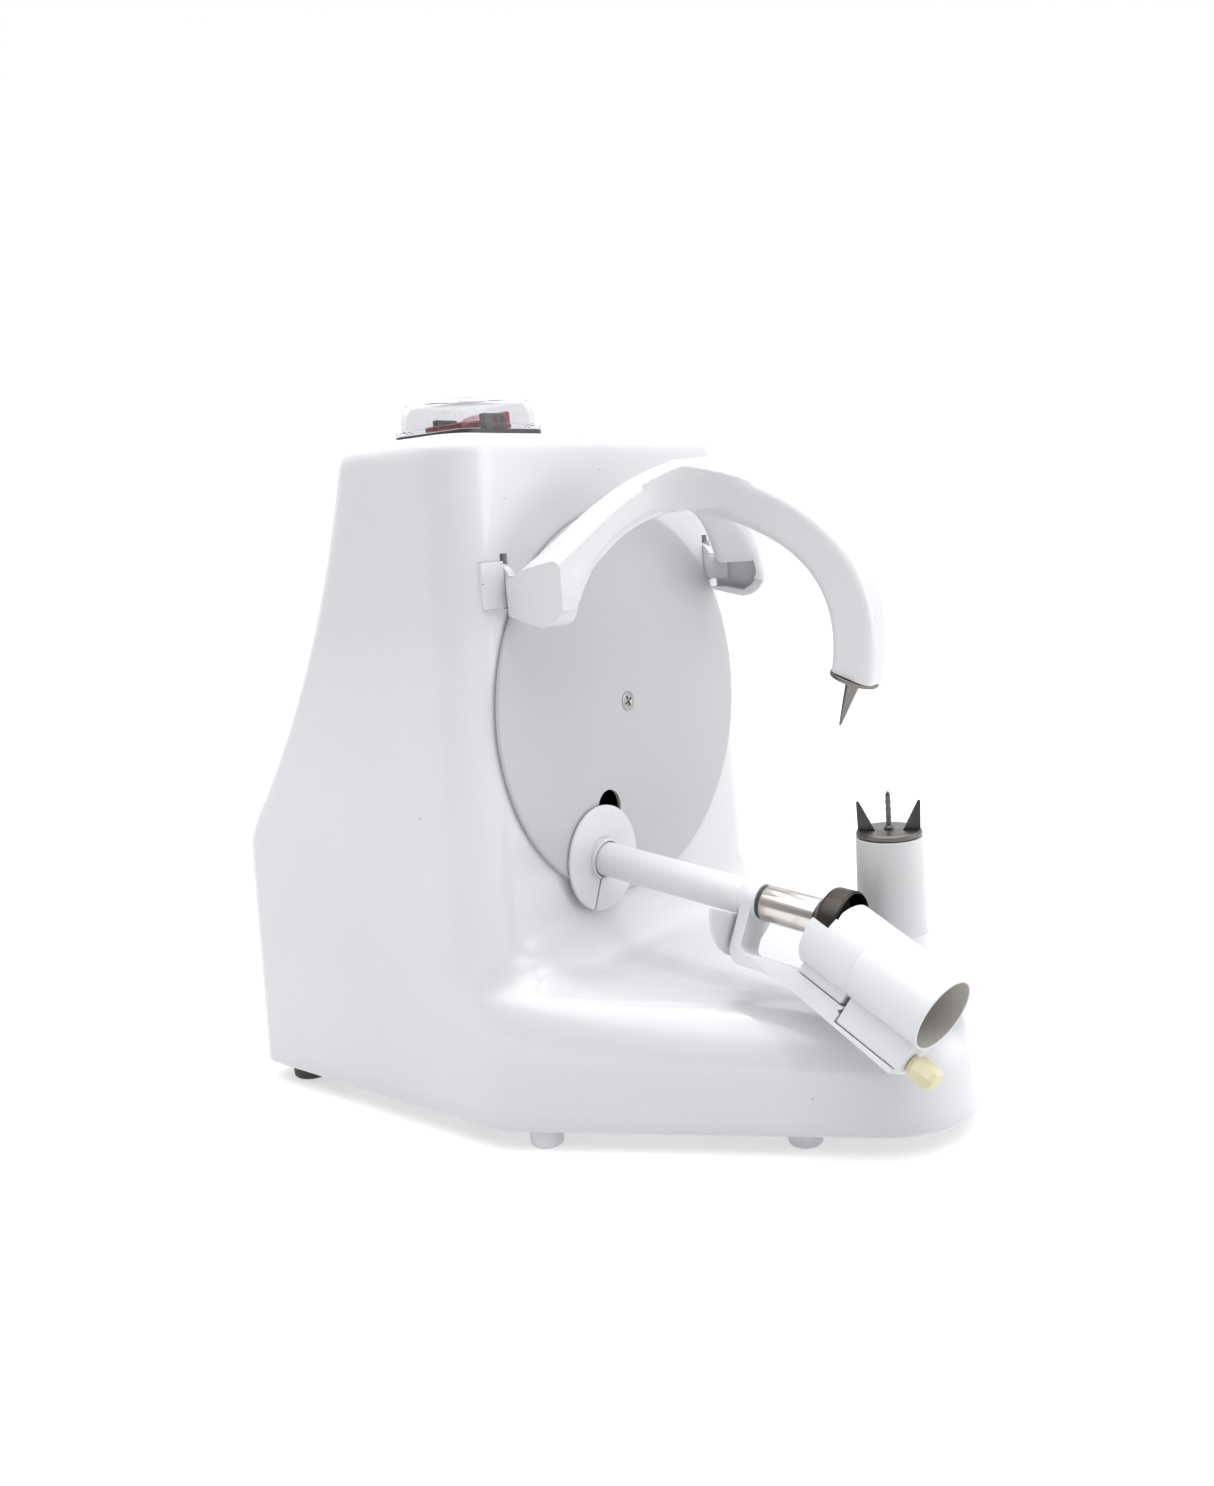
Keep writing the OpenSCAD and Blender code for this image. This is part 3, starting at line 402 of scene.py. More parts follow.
def grainy(name, colour, other, rough, scale=500, height=0.25, metal=0.0):
    """Textured plastic, rubber or cast metal."""
    n = Nodes(name)
    cloud = n.noise(40, 4)
    n.link(n.mix(n.span(cloud, 0.3, 0.7, 0, 1), colour, other), n.shader.inputs["Base Color"])
    n.link(n.span(n.noise(scale, 3), 0.3, 0.7, rough - 0.06, rough + 0.06), n.shader.inputs["Roughness"])
    n.set(Metallic=metal)
    n.bump(n.noise(scale, 3), height, 0.0001)
    return n.material


def smoky_clear(name):
    """Clear moulded cover, slightly smoky and scuffed."""
    n = Nodes(name)
    scuff = n.noise(120, 4, (1, 0.05, 0.3), (0.3, 0.2, 0.8))
    n.link(n.mix(n.span(scuff, 0.4, 0.7, 0, 1), (0.90, 0.905, 0.92, 1), (0.80, 0.81, 0.84, 1)),
           n.shader.inputs["Base Color"])
    n.link(n.span(scuff, 0.35, 0.75, 0.05, 0.2), n.shader.inputs["Roughness"])
    n.set(Transmission_Weight=0.97, IOR=1.12, Coat_Weight=0.1, Coat_Roughness=0.04)
    return n.material


white_shell = moulding("white_shell", (0.60, 0.605, 0.625, 1), (0.57, 0.575, 0.595, 1), 0.20, 0.35)
white_arm = moulding("white_arm", (0.60, 0.605, 0.62, 1), (0.57, 0.575, 0.59, 1), 0.26, 0.25, 0.2)
white_disc = moulding("white_disc", (0.44, 0.445, 0.46, 1), (0.42, 0.425, 0.44, 1), 0.38, 0.0, 0.22)
white_head = moulding("white_head", (0.64, 0.645, 0.655, 1), (0.60, 0.605, 0.62, 1), 0.38, 0.06, 0.2)
# a darker, warmer white for the faces inside the chute's bore
darker_bore = moulding("darker_bore", (0.54, 0.52, 0.49, 1), (0.42, 0.40, 0.37, 1), 0.42, 0.05, 0.3)
white_post = moulding("white_post", (0.54, 0.545, 0.555, 1), (0.44, 0.445, 0.44, 1), 0.33, 0.1, 0.25)
white_foot = moulding("white_foot", (0.66, 0.665, 0.68, 1), (0.62, 0.625, 0.64, 1), 0.45, 0.0)
ivory = grainy("ivory_nylon", (0.63, 0.59, 0.41, 1), (0.57, 0.52, 0.33, 1), 0.5, 420, 0.3)
rubber = grainy("rubber_black", grey(0.035), grey(0.05), 0.7)
black = grainy("black_plastic", grey(0.03), grey(0.045), 0.42, 600, 0.2)
red = grainy("rocker_red", (0.30, 0.010, 0.02, 1), (0.20, 0.006, 0.014, 1), 0.24, 300, 0.1)
smoky = smoky_clear("smoky_cover")
bronze = grainy("bronze", (0.55, 0.36, 0.16, 1), (0.42, 0.27, 0.12, 1), 0.35, 700, 0.15, 1.0)
motor_coat = grainy("motor_steel", grey(0.34), grey(0.28), 0.4, 300, 0.1, 1.0)
bright = brushed("bright_steel", grey(0.34, 0.02), grey(0.22, 0.02), 0.3, (0, 0, 0))
arm_lines = (-PARK, ARM_TILT, 0)
stainless = brushed("stainless_turned", grey(0.78, 0.05), grey(0.38, 0.07), 0.16, arm_lines, 700,
                    stains=(0.33, 0.29, 0.22, 1))
spike_steel = brushed("stainless_worn", grey(0.26, 0.06), grey(0.10, 0.09), 0.24, (0, SPIKE_TILT, 0), 800,
                      stains=(0.20, 0.16, 0.11, 1))
fork_steel = brushed("fork_steel", grey(0.17, 0.04), grey(0.09, 0.05), 0.3, (0, 0, 0.46), 500,
                     stains=(0.12, 0.10, 0.075, 1))
cutter_steel = brushed("cutter_steel", grey(0.07, 0.10), grey(0.03, 0.12), 0.33, arm_lines, 600,
                       stains=(0.05, 0.035, 0.025, 1))

# CAD nodes that keep their own mesh
for node, material in (
        ("base_plate", white_shell), ("base_screws", bright), ("spindle_bush", bronze),
        ("step_bearing", black),
        ("spindle_shaft", bright), ("driven_pulley", black), ("drive_belt", rubber), ("drive_pulley", black),
        ("spindle_motor", motor_coat), ("motor_mount", bright), ("chassis_plate", bright),
        ("disc_shaft", bright), ("disc_bearing", motor_coat), ("disc_gear", ivory), ("disc_pinion", bright),
        ("disc_motor", motor_coat), ("arm_clevis", bright), ("arm_pivot_pin", bright), ("arm_spring", bright),
        ("hub_pin_left", bright), ("hub_pin_right", bright), ("spike_bush", bronze), ("switch_body", black)):
    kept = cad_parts[node]
    kept.data.materials.clear()
    kept.data.materials.append(material)
    for polygon in kept.data.polygons:
        polygon.material_index = 0


# ---------------------------------------------------------------- camera
CAMERA_AT = Vector((350.83, -464.03, 249.57))
CAMERA_LENS, CAMERA_SENSOR = 31.71, 36
AZIMUTH, PITCH, ROLL = math.radians(38.77), math.radians(9.4), math.radians(-4.28)


def set_camera():
    data = bpy.data.cameras.new("camera")
    data.lens = CAMERA_LENS
    data.sensor_width = CAMERA_SENSOR
    camera = bpy.data.objects.new("camera", data)
    scene.collection.objects.link(camera)
    ahead = Vector((-math.sin(AZIMUTH) * math.cos(PITCH), math.cos(AZIMUTH) * math.cos(PITCH),
                    -math.sin(PITCH)))
    right = Vector((math.cos(AZIMUTH), math.sin(AZIMUTH), 0))
    up = right.cross(ahead)
    right, up = (right * math.cos(ROLL) + up * math.sin(ROLL), up * math.cos(ROLL) - right * math.sin(ROLL))
    camera.matrix_world = Matrix.Translation(CAMERA_AT * MM) @ Matrix(
        [(right[i], up[i], -ahead[i]) for i in range(3)]).to_4x4()
    scene.camera = camera


set_camera()


# ---------------------------------------------------------------- light and floor
def area_light(name, place, target, size, watts):
    data = bpy.data.lights.new(name, "AREA")
    data.shape = "RECTANGLE"
    data.size, data.size_y = size
    data.energy = watts
    lamp = bpy.data.objects.new(name, data)
    lamp.location = place
    lamp.rotation_euler = (Vector(target) - Vector(place)).to_track_quat("-Z", "Y").to_euler()
    scene.collection.objects.link(lamp)


class Sky:
    """Soft light from all round, given by direction."""

    def __init__(self, tree):
        self.tree = tree
        self.direction = tree.nodes.new("ShaderNodeTexCoord").outputs["Generated"]

    def along(self, way):
        node = self.tree.nodes.new("ShaderNodeVectorMath")
        node.operation = "DOT_PRODUCT"
        node.inputs[1].default_value = way
        self.tree.links.new(self.direction, node.inputs[0])
        return node.outputs["Value"]

    def span(self, source, low, high, to_low, to_high):
        node = self.tree.nodes.new("ShaderNodeMapRange")
        node.interpolation_type = "SMOOTHSTEP"
        for key, value in (("From Min", low), ("From Max", high), ("To Min", to_low), ("To Max", to_high)):
            node.inputs[key].default_value = value
        self.tree.links.new(source, node.inputs["Value"])
        return node.outputs["Result"]

    def ramp(self, source, *stops):
        """Steps smoothly from each stop's strength to the next one's."""
        (start, low), (end, high) = stops[:2]
        total = self.span(source, start, end, low, high)
        for (start, low), (end, high) in zip(stops[1:], stops[2:]):
            total = self.math("ADD", total, self.span(source, start, end, 0, high - low))
        return total

    def math(self, operation, a, b):
        node = self.tree.nodes.new("ShaderNodeMath")
        node.operation = operation
        self.tree.links.new(a, node.inputs[0])
        self.tree.links.new(b, node.inputs[1])
        return node.outputs["Value"]

    def minus(self, a, b):
        return self.math("SUBTRACT", a, b)


def studio():
    world = bpy.data.worlds.new("studio")
    world.use_nodes = True
    scene.world = world
    tree = world.node_tree
    background = tree.nodes["Background"]
    sky = Sky(tree)
    # bright overhead, even at the horizon, dimmer beside the machine and behind the camera
    height = sky.ramp(sky.along((0, 0, 1)), (0.0, 1.04), (0.4, 1.0), (0.62, 1.2), (0.82, 3.5), (1.0, 3.9))
    beside = sky.span(sky.along((0.3, -0.94, 0.15)), -0.2, 0.75, 0.0, 0.6)
    behind = sky.span(sky.along((0.65, -0.75, 0.1)), 0.3, 1.0, 0.0, 0.3)
    tree.links.new(sky.minus(sky.minus(height, beside), behind), background.inputs["Strength"])
    background.inputs["Color"].default_value = (1.0, 1.0, 1.015, 1)
    area_light("side_box", (1.75, 0.95, 0.6), (0, 0, 0.15), (1.2, 1.3), 9)
    area_light("strip", (0.05, -0.12, 2.2), (0.05, -0.1, 0), (1.5, 0.07), 9)

    half = 9000
    floor = mesh_object("floor", [(-half, -half, 0), (half, -half, 0), (half, half, 0), (-half, half, 0)],
                        [(0, 1, 2, 3)])
    n = Nodes("floor")
    n.link(n.mix(n.noise(3, 2), (0.42, 0.42, 0.425, 1), (0.44, 0.44, 0.445, 1)),
           n.shader.inputs["Base Color"])
    n.set(Roughness=0.75, Emission_Color=(1, 1, 1, 1), Emission_Strength=0.52)
    floor.data.materials.append(n.material)
    scene.view_settings.view_transform = "Standard"
    scene.view_settings.look = "None"


studio()


# ---------------------------------------------------------------- housing
# The same dimensions as the frame's housing: where it starts and ends, its wall and its radii
FACE = DISC.x - 2.5
BACK = DISC.x - 157
NOSE = DISC.x + 117
CAVITY_TOP = 45
WALL = 4.5
TOP_HALF_W = 95
FRONT_R, BACK_R, TOP_R, NOSE_R, EDGE_R, HOLLOW_R, TAPER_R = 20, 10, 9, 41, 25, 24, 30
# Points along each stretch of half the tower's outline
FRONT, CORNER, SIDE, REAR = 24, 16, 24, 10
TAPER_ANGLE = (math.pi - math.atan2(FOOT_HALF_W, NOSE - DISC.x)
               - math.acos(NOSE_R / math.hypot(DISC.x - NOSE, FOOT_HALF_W)))


def mix(a, b, t):
    return a + (b - a) * t


def half_w(z):
    """Half of the housing's width, which narrows upward."""
    return FOOT_HALF_W - (z - UNDERSIDE) * (FOOT_HALF_W - TOP_HALF_W) / (TOWER_TOP - UNDERSIDE)


def back_x(z):
    """The back: upright below, then a hollow arc, with a soft bend between them."""
    radius, centre_x, centre_z, bend = 420, DISC.x - 482.3, DISC.z + 214.4, 6
    hollow = centre_x + math.sqrt(radius ** 2 - (z - centre_z) ** 2)
    return max(hollow, BACK) + max(bend - abs(hollow - BACK), 0) ** 2 / (4 * bend)


DECK_TOP, DECK_SLOPE = 63, 0.063


def deck(x):
    """Height of the base's top, which falls away from the tower."""
    return DECK_TOP - DECK_SLOPE * max(x - FACE, 0)


def arc(centre, radius, start, end, steps):
    """Points on an arc, each with its outward direction."""
    angles = [mix(start, end, i / steps) for i in range(steps + 1)]
    return [(centre[0] + radius * math.cos(a), centre[1] + radius * math.sin(a), math.cos(a), math.sin(a))
            for a in angles]


def straight(start, end, steps, out, first=1):
    """Points along a line, each with the outward direction, without its last one."""
    return [(mix(start[0], end[0], i / steps), mix(start[1], end[1], i / steps)) + out
            for i in range(first, steps)]


def tower_half(z, d=0.0):
    """Half of the tower's outline, moved inward by d, from mid front to mid back."""
    w, front, back = half_w(z) - d, FACE - d, back_x(z) + d
    rf, rb = FRONT_R - d, max(BACK_R - d, 1)
    return (straight((front, 0), (front, w - rf), FRONT, (1, 0), 0)
            + arc((front - rf, w - rf), rf, 0, math.pi / 2, CORNER)
            + straight((front - rf, w), (back + rb, w), SIDE, (0, 1))
            + arc((back + rb, w - rb), rb, math.pi / 2, math.pi, REAR)
            + [(back, 0, -1, 0)])


def base_half(z):
    """The same points on the base's outline."""
    d = FOOT_HALF_W - half_w(z)
    r, w = NOSE_R - d, half_w(z)
    c, s = math.cos(TAPER_ANGLE), math.sin(TAPER_ANGLE)
    tangent = (NOSE + r * c, r * s)
    corner_x = tangent[0] - s * (w - tangent[1]) / c
    reach = TAPER_R * math.tan((math.pi / 2 - TAPER_ANGLE) / 2)
    start = (corner_x + s * reach, w - c * reach)
    centre = (corner_x - reach, w - TAPER_R)
    tower = tower_half(z)
    side_start = tower[FRONT + CORNER]
    return (arc((NOSE, 0), r, 0, TAPER_ANGLE, 16)
            + straight(tangent, start, 12, (c, s))
            + arc(centre, TAPER_R, TAPER_ANGLE, math.pi / 2, 8)
            + straight((centre[0], w), side_start[:2], 4, (0, 1))
            + tower[FRONT + CORNER:])


def coarse(i):
    """Point number, where four of the close points on the front and corner count as one."""
    return i / 4 if i <= FRONT + CORNER else FRONT / 4 + CORNER / 4 + (i - FRONT - CORNER)


def climbing():
    """For each point, how wide the base's edge and the hollow are, and the way it climbs to the tower."""
    out = []
    for i, (b, t) in enumerate(zip(base_half(DECK_TOP), tower_half(DECK_TOP))):
        line = Vector((b[0] - t[0], b[1] - t[1]))
        room = line.length / 2
        way = line.normalized() if room > 0.01 else Vector((0, 1))
        out.append((min(EDGE_R, room), min(HOLLOW_R, room), min(max((coarse(i) - 5) / 2, 0), 1), way))
    return out


CLIMB = climbing()


def shift(p, i, d):
    """Moves point i inward by d, on the way that it climbs."""
    way, share = CLIMB[i][3], CLIMB[i][2]
    return (p[0] - mix(p[2], way.x, share) * d, p[1] - mix(p[3], way.y, share) * d)


def whole(half):
    """Half an outline and its mirror image."""
    return half + [(p[0], -p[1], p[2]) for p in half[-2:0:-1]]


def housing_rings():
    """The housing's surface from its lowest edge up, as whole outlines."""
    rings = []
    count = len(CLIMB)
    low_r, tower_from = 2.5, 92
    tops = [deck(shift(p, i, CLIMB[i][0])[0]) for i, p in enumerate(base_half(DECK_TOP))]
    feet = [deck(shift(p, i, -CLIMB[i][1])[0]) + 1 - CLIMB[i][1] / HOLLOW_R
            for i, p in enumerate(tower_half(DECK_TOP))]
    # lowest edge
    for k in range(4):
        a = math.pi / 2 * k / 3
        d = low_r * (1 - math.sin(a))
        z = UNDERSIDE + low_r * (1 - math.cos(a))
        rings.append([(p[0] - p[2] * d, p[1] - p[3] * d, z) for p in base_half(UNDERSIDE)])
    # the base's side
    for share in (0.25, 0.5, 0.75):
        heights = [mix(UNDERSIDE + low_r, top - EDGE_R, share) for top in tops]
        rings.append([base_half(z)[i][:2] + (z,) for i, z in enumerate(heights)])
    # over the rounded edge, then up the hollow
    quarter = [math.pi / 2 * k / 14 for k in range(15)]
    for a in quarter:
        ring = []
        for i in range(count):
            z = tops[i] - EDGE_R * (1 - math.sin(a))
            ring.append(shift(base_half(z)[i], i, CLIMB[i][0] * (1 - math.cos(a))) + (z,))
        rings.append(ring)
    for a in quarter:
        ring = []
        for i in range(count):
            z = feet[i] + HOLLOW_R * (1 - math.cos(a))
            ring.append(shift(tower_half(z)[i], i, -CLIMB[i][1] * (1 - math.sin(a))) + (z,))
        rings.append(ring)
    # the tower and its top edge
    for k in range(46):
        z = mix(tower_from, TOWER_TOP - TOP_R, k / 45)
        rings.append([(p[0], p[1], z) for p in tower_half(z)])
    for k in range(1, 9):
        a = math.pi / 2 * k / 8
        z = TOWER_TOP - TOP_R * (1 - math.sin(a))
        rings.append([(p[0], p[1], z) for p in tower_half(z, TOP_R * (1 - math.cos(a)))])
    return [whole(ring) for ring in relaxed(rings)]


def relaxed(rings):
    """Fairs the surface where base, hollow and tower run together at the corner."""
    rounds, strength = 36, 0.6
    points = [[Vector(p) for p in ring] for ring in rings]
    rows, count = len(points), len(points[0])

    def share(p):
        near = 1 - min(abs(p.z - 62) / 26, 1)
        side = min(max((p.y - 52) / 22, 0), 1)
        front = min(max((p.x - DISC.x + 42) / 24, 0), 1)
        return near * side * front

    shares = [[share(p) for p in row] for row in points]
    for _ in range(rounds):
        fresh = [row[:] for row in points]
        for k in range(1, rows - 1):
            for i in range(1, count - 1):
                if shares[k][i] > 0:
                    mean = (points[k - 1][i] + points[k + 1][i] + points[k][i - 1] + points[k][i + 1]) / 4
                    fresh[k][i] = points[k][i].lerp(mean, strength * shares[k][i])
        points = fresh
    return [[tuple(p) for p in row] for row in points]


def footprint(d):
    """The base's outline, moved inward by d."""
    base, tower = base_half(UNDERSIDE), tower_half(UNDERSIDE, d)
    half = [(p[0] - p[2] * d, p[1] - p[3] * d, 0) if i < FRONT + CORNER
            else (tower[i][0], tower[i][1], 0) for i, p in enumerate(base)]
    return [(p[0], p[1]) for p in whole(half)]


def cavity_tools():
    """What hollows the housing: the skirt under the base plate, the base's room and the tower's room."""
    skirt = prism("skirt", footprint(WALL + 0.5), -30, 30, axis="Z")
    floor_room = prism("floor_room", footprint(13), 0, CAVITY_TOP, axis="Z")
    profile = [(FACE - WALL, CAVITY_TOP - 10), (FACE - WALL, TOWER_TOP - WALL)]
    levels = (TOWER_TOP - WALL, 260, 230, 205, 180, 160, 145, 130, 120)
    profile += [(back_x(z) + WALL + 1, z) for z in levels]
    profile += [(BACK + WALL + 1, 112), (BACK + WALL + 1, CAVITY_TOP - 10)]
    tower_room = prism("tower_room", profile, -TOP_HALF_W, TOP_HALF_W)
    r = FRONT_R - WALL
    inner = TOP_HALF_W - WALL
    front = FACE - WALL
    plan = ([p[:2] for p in arc((front - r, -inner + r), r, -math.pi / 2, 0, 10)]
            + [p[:2] for p in arc((front - r, inner - r), r, 0, math.pi / 2, 10)]
            + [(BACK, inner), (BACK, -inner)])
    combine(tower_room, [prism("tower_plan", plan, 0, TOWER_TOP, axis="Z")], "INTERSECT")
    return [skirt, floor_room, tower_room]


HINGE_IN = 70.1
TONGUE_LOW, TONGUE_HIGH = 48.7, 70.7


def build_housing():
    shell = rings_mesh("shell", housing_rings())
    outward(shell)
    combine(shell, cavity_tools())
    places = [(DISC.x - 20, 98), (DISC.x - 20, -98), (DISC.x - 110, 98), (DISC.x - 110, -98),
              (NOSE - 22, 27), (NOSE - 22, -27)]
    posts = [rod("boss", 5, UNDERSIDE + 3, CAVITY_TOP + 3, move(x, y, 0), 32) for x, y in places]
    combine(shell, posts, "UNION")
    holes = [rod("opening", 80, FACE - 10, FACE + 5, move(0, 0, DISC.z) @ ALONG_X, 128)]
    lug_low, lug_high = box_mm("hub_left")
    for s in (1, -1):
        low, high = sorted((s * HINGE_IN, s * (lug_low.y + 0.1)))
        holes.append(box("slot", (FACE - 16, low, DISC.z + TONGUE_LOW),
                         (FACE + 2, high, DISC.z + TONGUE_HIGH)))
        low, high = sorted((s * lug_low.y, s * lug_high.y))
        holes.append(box("slot", (FACE - 16, low, lug_low.z - 0.1), (FACE + 2, high, lug_high.z + 0.1)))
    holes.append(rod("spindle_hole", 13.8, CAVITY_TOP - 5, CAVITY_TOP + 15, AT_SPINDLE))
    for x, y in places:
        holes.append(rod("screw_hole", 2, UNDERSIDE, UNDERSIDE + 15, move(x, y, 0), 24))
    holes.append(box("switch_hole", (-11, -17, -10), (11, 17, 10), AT_SWITCH))
    holes.append(box("inlet_hole", (BACK - 1, 46, 20), (BACK + 14, 74, 40)))
    combine(shell, holes)
    piece(shell, "base", ["housing"], white_shell, 40)


build_housing()


# ---------------------------------------------------------------- feet, post and spindle
def build_feet():
    for name in ("foot_tower_left", "foot_tower_right", "foot_nose_left", "foot_nose_right",
                 "foot_rear_left", "foot_rear_right"):
        low, high = box_mm(name)
        r = (high.x - low.x) / 2
        outline = rounded([(0, 0), (r - 0.8, 0), (r, 1), (r, UNDERSIDE), (0, UNDERSIDE)], [0, 0.9, 0.9, 0, 0])
        foot = lathe("stand_" + name, outline, move((low.x + high.x) / 2, (low.y + high.y) / 2, 0), 64)
        if "rear" in name:
            piece(foot, "base", [name], rubber)
        else:
            piece(foot, "base", [name], white_foot)


def build_post():
    tube_r, flare_r, neck_r, flare_from, flare_to = 13.8, 30.5, 14.2, 9, 36
    curve = [(mix(flare_r, neck_r, math.sin(a)), flare_from + (flare_to - flare_from) * (1 - math.cos(a)))
             for a in [math.radians(3 * k) for k in range(31)]]
    flare = lathe("collar_flare", [(tube_r, 0), (flare_r, 0)] + curve + [(tube_r, flare_to)],
                  move(SPINDLE.x, 0, CAVITY_TOP), 128)
    level = Matrix.Translation((SPINDLE.x, 0, deck(SPINDLE.x))) @ turn(math.atan(DECK_SLOPE), "Y")
    combine(flare, [box("below", (-60, -60, -40), (60, 60, 0), level)])
    piece(flare, "base", ["post_collar"], white_shell, 40)

    top = box_mm("spindle_post")[1].z
    foot = CAVITY_TOP + 40.5
    outline = rounded([(8, CAVITY_TOP - 4), (18, CAVITY_TOP - 4), (18, CAVITY_TOP), (tube_r, CAVITY_TOP),
                       (tube_r, foot), (13.2, top), (8, top)], [0, 0.8, 0.8, 0.5, 0, 0.7, 0.5])
    piece(lathe("post_tube", outline, AT_SPINDLE, 128), "base", ["spindle_post"], white_post)


def build_fork():
    cap = soften(copy_of("fork_cap", "fork_plate"), 0.22, 2)
    piece(cap, "spindle", ["fork_cap"], fork_steel, 30)
    low, high = box_mm("centre_pin")
    base = low.z
    steps = [(0, base), (2.0, base), (2.0, base + 0.7), (1.5, base + 1.3), (1.15, base + 1.9)]
    steps += [(1.04 + 0.09 * math.sin(1.7 * k), base + 1.9 + 0.75 * k) for k in range(1, 15)]
    steps += [(1.05, high.z - 2.2), (0.85, high.z - 0.9), (0.45, high.z - 0.2), (0, high.z)]
    pin = lathe("fork_pin", steps, AT_SPINDLE, 32)
    piece(pin, "spindle", ["centre_pin"], fork_steel, 50)


build_feet()
build_post()
build_fork()


# ---------------------------------------------------------------- disc
def build_disc():
    r = DISC_R
    flat = r - 7
    across = Matrix.Translation(DISC) @ ALONG_X
    outline = [(0, -2), (r - 0.4, -2), (r, -1.7), (r, -0.7), (r - 0.15, -0.3), (r - 0.6, -0.05), (r - 1.2, 0)]
    outline += [(flat, 0)]
    outline += [(flat - k * 79 / 12, -0.55 * math.sin(math.pi / 2 * k / 12)) for k in range(1, 13)]
    plate = lathe("disc_plate", outline, across, 192)
    slot_r, slot_low, slot_high = 8, -73, -49
    slot = [(slot_r * math.cos(a), slot_low + slot_r * math.sin(a))
            for a in [math.pi + math.pi * k / 24 for k in range(25)]]
    slot += [(slot_r * math.cos(a), slot_high + slot_r * math.sin(a))
             for a in [math.pi * k / 24 for k in range(25)]]
    tools = [prism("slot", slot, -10, 10, AT_DISC, "X"),
             rod("screw_hole", 2.2, -10, 10, across, 48),
             lathe("screw_seat", [(0, -1.6), (2.2, -1.6), (4.8, 0.1), (0, 0.1)], across, 64)]
    combine(plate, tools)
    piece(plate, "disc", ["disc"], white_disc, 30)
    screw = soften(copy_of("disc_screw", "disc_centre_screw"), 0.12, 2)
    piece(screw, "disc", ["disc_screw"], bright, 30)

    # the washer sits where the tilted arm passes through it
    washer_mid = 0.3 + 0.8
    place = AT_DISC @ move(0, 0, -PIVOT_DOWN - (PIVOT_BACK + washer_mid) * math.tan(ARM_TILT))
    outline = rounded([(8, 0.3), (23.5, 0.3), (23.5, 1.9), (8, 1.9)], [0.3, 0.5, 0.6, 0.4], 4)
    cover = lathe("slot_washer", outline, place @ ALONG_X, 128)
    collar = rounded([(8, 1.2), (9.3, 1.2), (9.3, 3.6), (8, 3.6)], [0, 0, 0.5, 0.4], 4)
    combine(cover, [lathe("collar", collar, place @ turn(ARM_TILT, "Y") @ ALONG_X, 96)], "UNION")
    combine(cover, [box("split", (-5, -0.6, -40), (15, 0.6, 0), place)])
    piece(cover, "slot_cover", ["slot_cover"], white_arm, 30)


build_disc()


# ---------------------------------------------------------------- peeling arm
TUBE_R = 7.5
TUBE_LEN = 138.4
HOLDER = TUBE_LEN + 10
CUTTER = HOLDER + 25
CUTTER_R = 13.5


def build_peel_arm():
    outline = rounded([(0, 0), (TUBE_R, 0), (TUBE_R, TUBE_LEN), (0, TUBE_LEN)], [0, 1, 0.3, 0])
    tube = lathe("arm_tube_shell", outline, AT_ARM @ ALONG_X, 96)
    combine(tube, [rod("barrel", 8, -8, 8, AT_ARM @ ALONG_Y, 64)], "UNION")
    combine(tube, [rod("pin_hole", 3.05, -20, 20, AT_ARM @ ALONG_Y, 48),
                   rod("stud_hole", 4, TUBE_LEN - 12, TUBE_LEN + 5, AT_ARM @ ALONG_X, 48)])
    piece(tube, "peel_arm", ["arm_tube"], white_head)
    bracket = soften(copy_of("blade_bracket", "head_bracket"), 0.9, 3, 40)
    piece(bracket, "peel_arm", ["blade_bracket"], white_head, 40)
    guard = soften(copy_of("peel_deflector", "peel_guard"), 0.35, 2, 40)
    piece(guard, "peel_arm", ["peel_deflector"], white_head, 30)
    seal = lathe("seal_ring", rounded([(4, 0), (6.8, 0), (6.8, 2), (4, 2)], 0.3),
                 AT_ARM @ move(TUBE_LEN + 8, 0, 0) @ ALONG_X)
    piece(seal, "peel_arm", ["holder_seal"], rubber)
    outline = rounded([(0, TUBE_LEN - 12), (4, TUBE_LEN - 12), (4, HOLDER), (TUBE_R, HOLDER),
                       (TUBE_R, CUTTER), (0, CUTTER)], [0, 0.5, 0, 0.6, 0.3, 0])
    stem = lathe("cutter_stem", outline, AT_ARM @ ALONG_X, 96)
    piece(stem, "peel_arm", ["blade_holder"], stainless)
    wall, length = 1.2, 13.6
    inner_r = CUTTER_R - wall
    outline = rounded([(0, 0), (TUBE_R, 0), (TUBE_R + 0.4, 0.6), (CUTTER_R, 5), (CUTTER_R, length - 1),
                       (CUTTER_R - 0.7, length), (inner_r, length - 2), (inner_r, 5.6), (0, 1.8)],
                      [0, 0.3, 0.3, 1.6, 0.1, 0.1, 0.2, 1.2, 0], 5)
    cup = lathe("ring_cutter", outline, AT_ARM @ move(CUTTER, 0, 0) @ ALONG_X, 128)
    piece(cup, "peel_arm", ["ring_blade"], cutter_steel, 30)


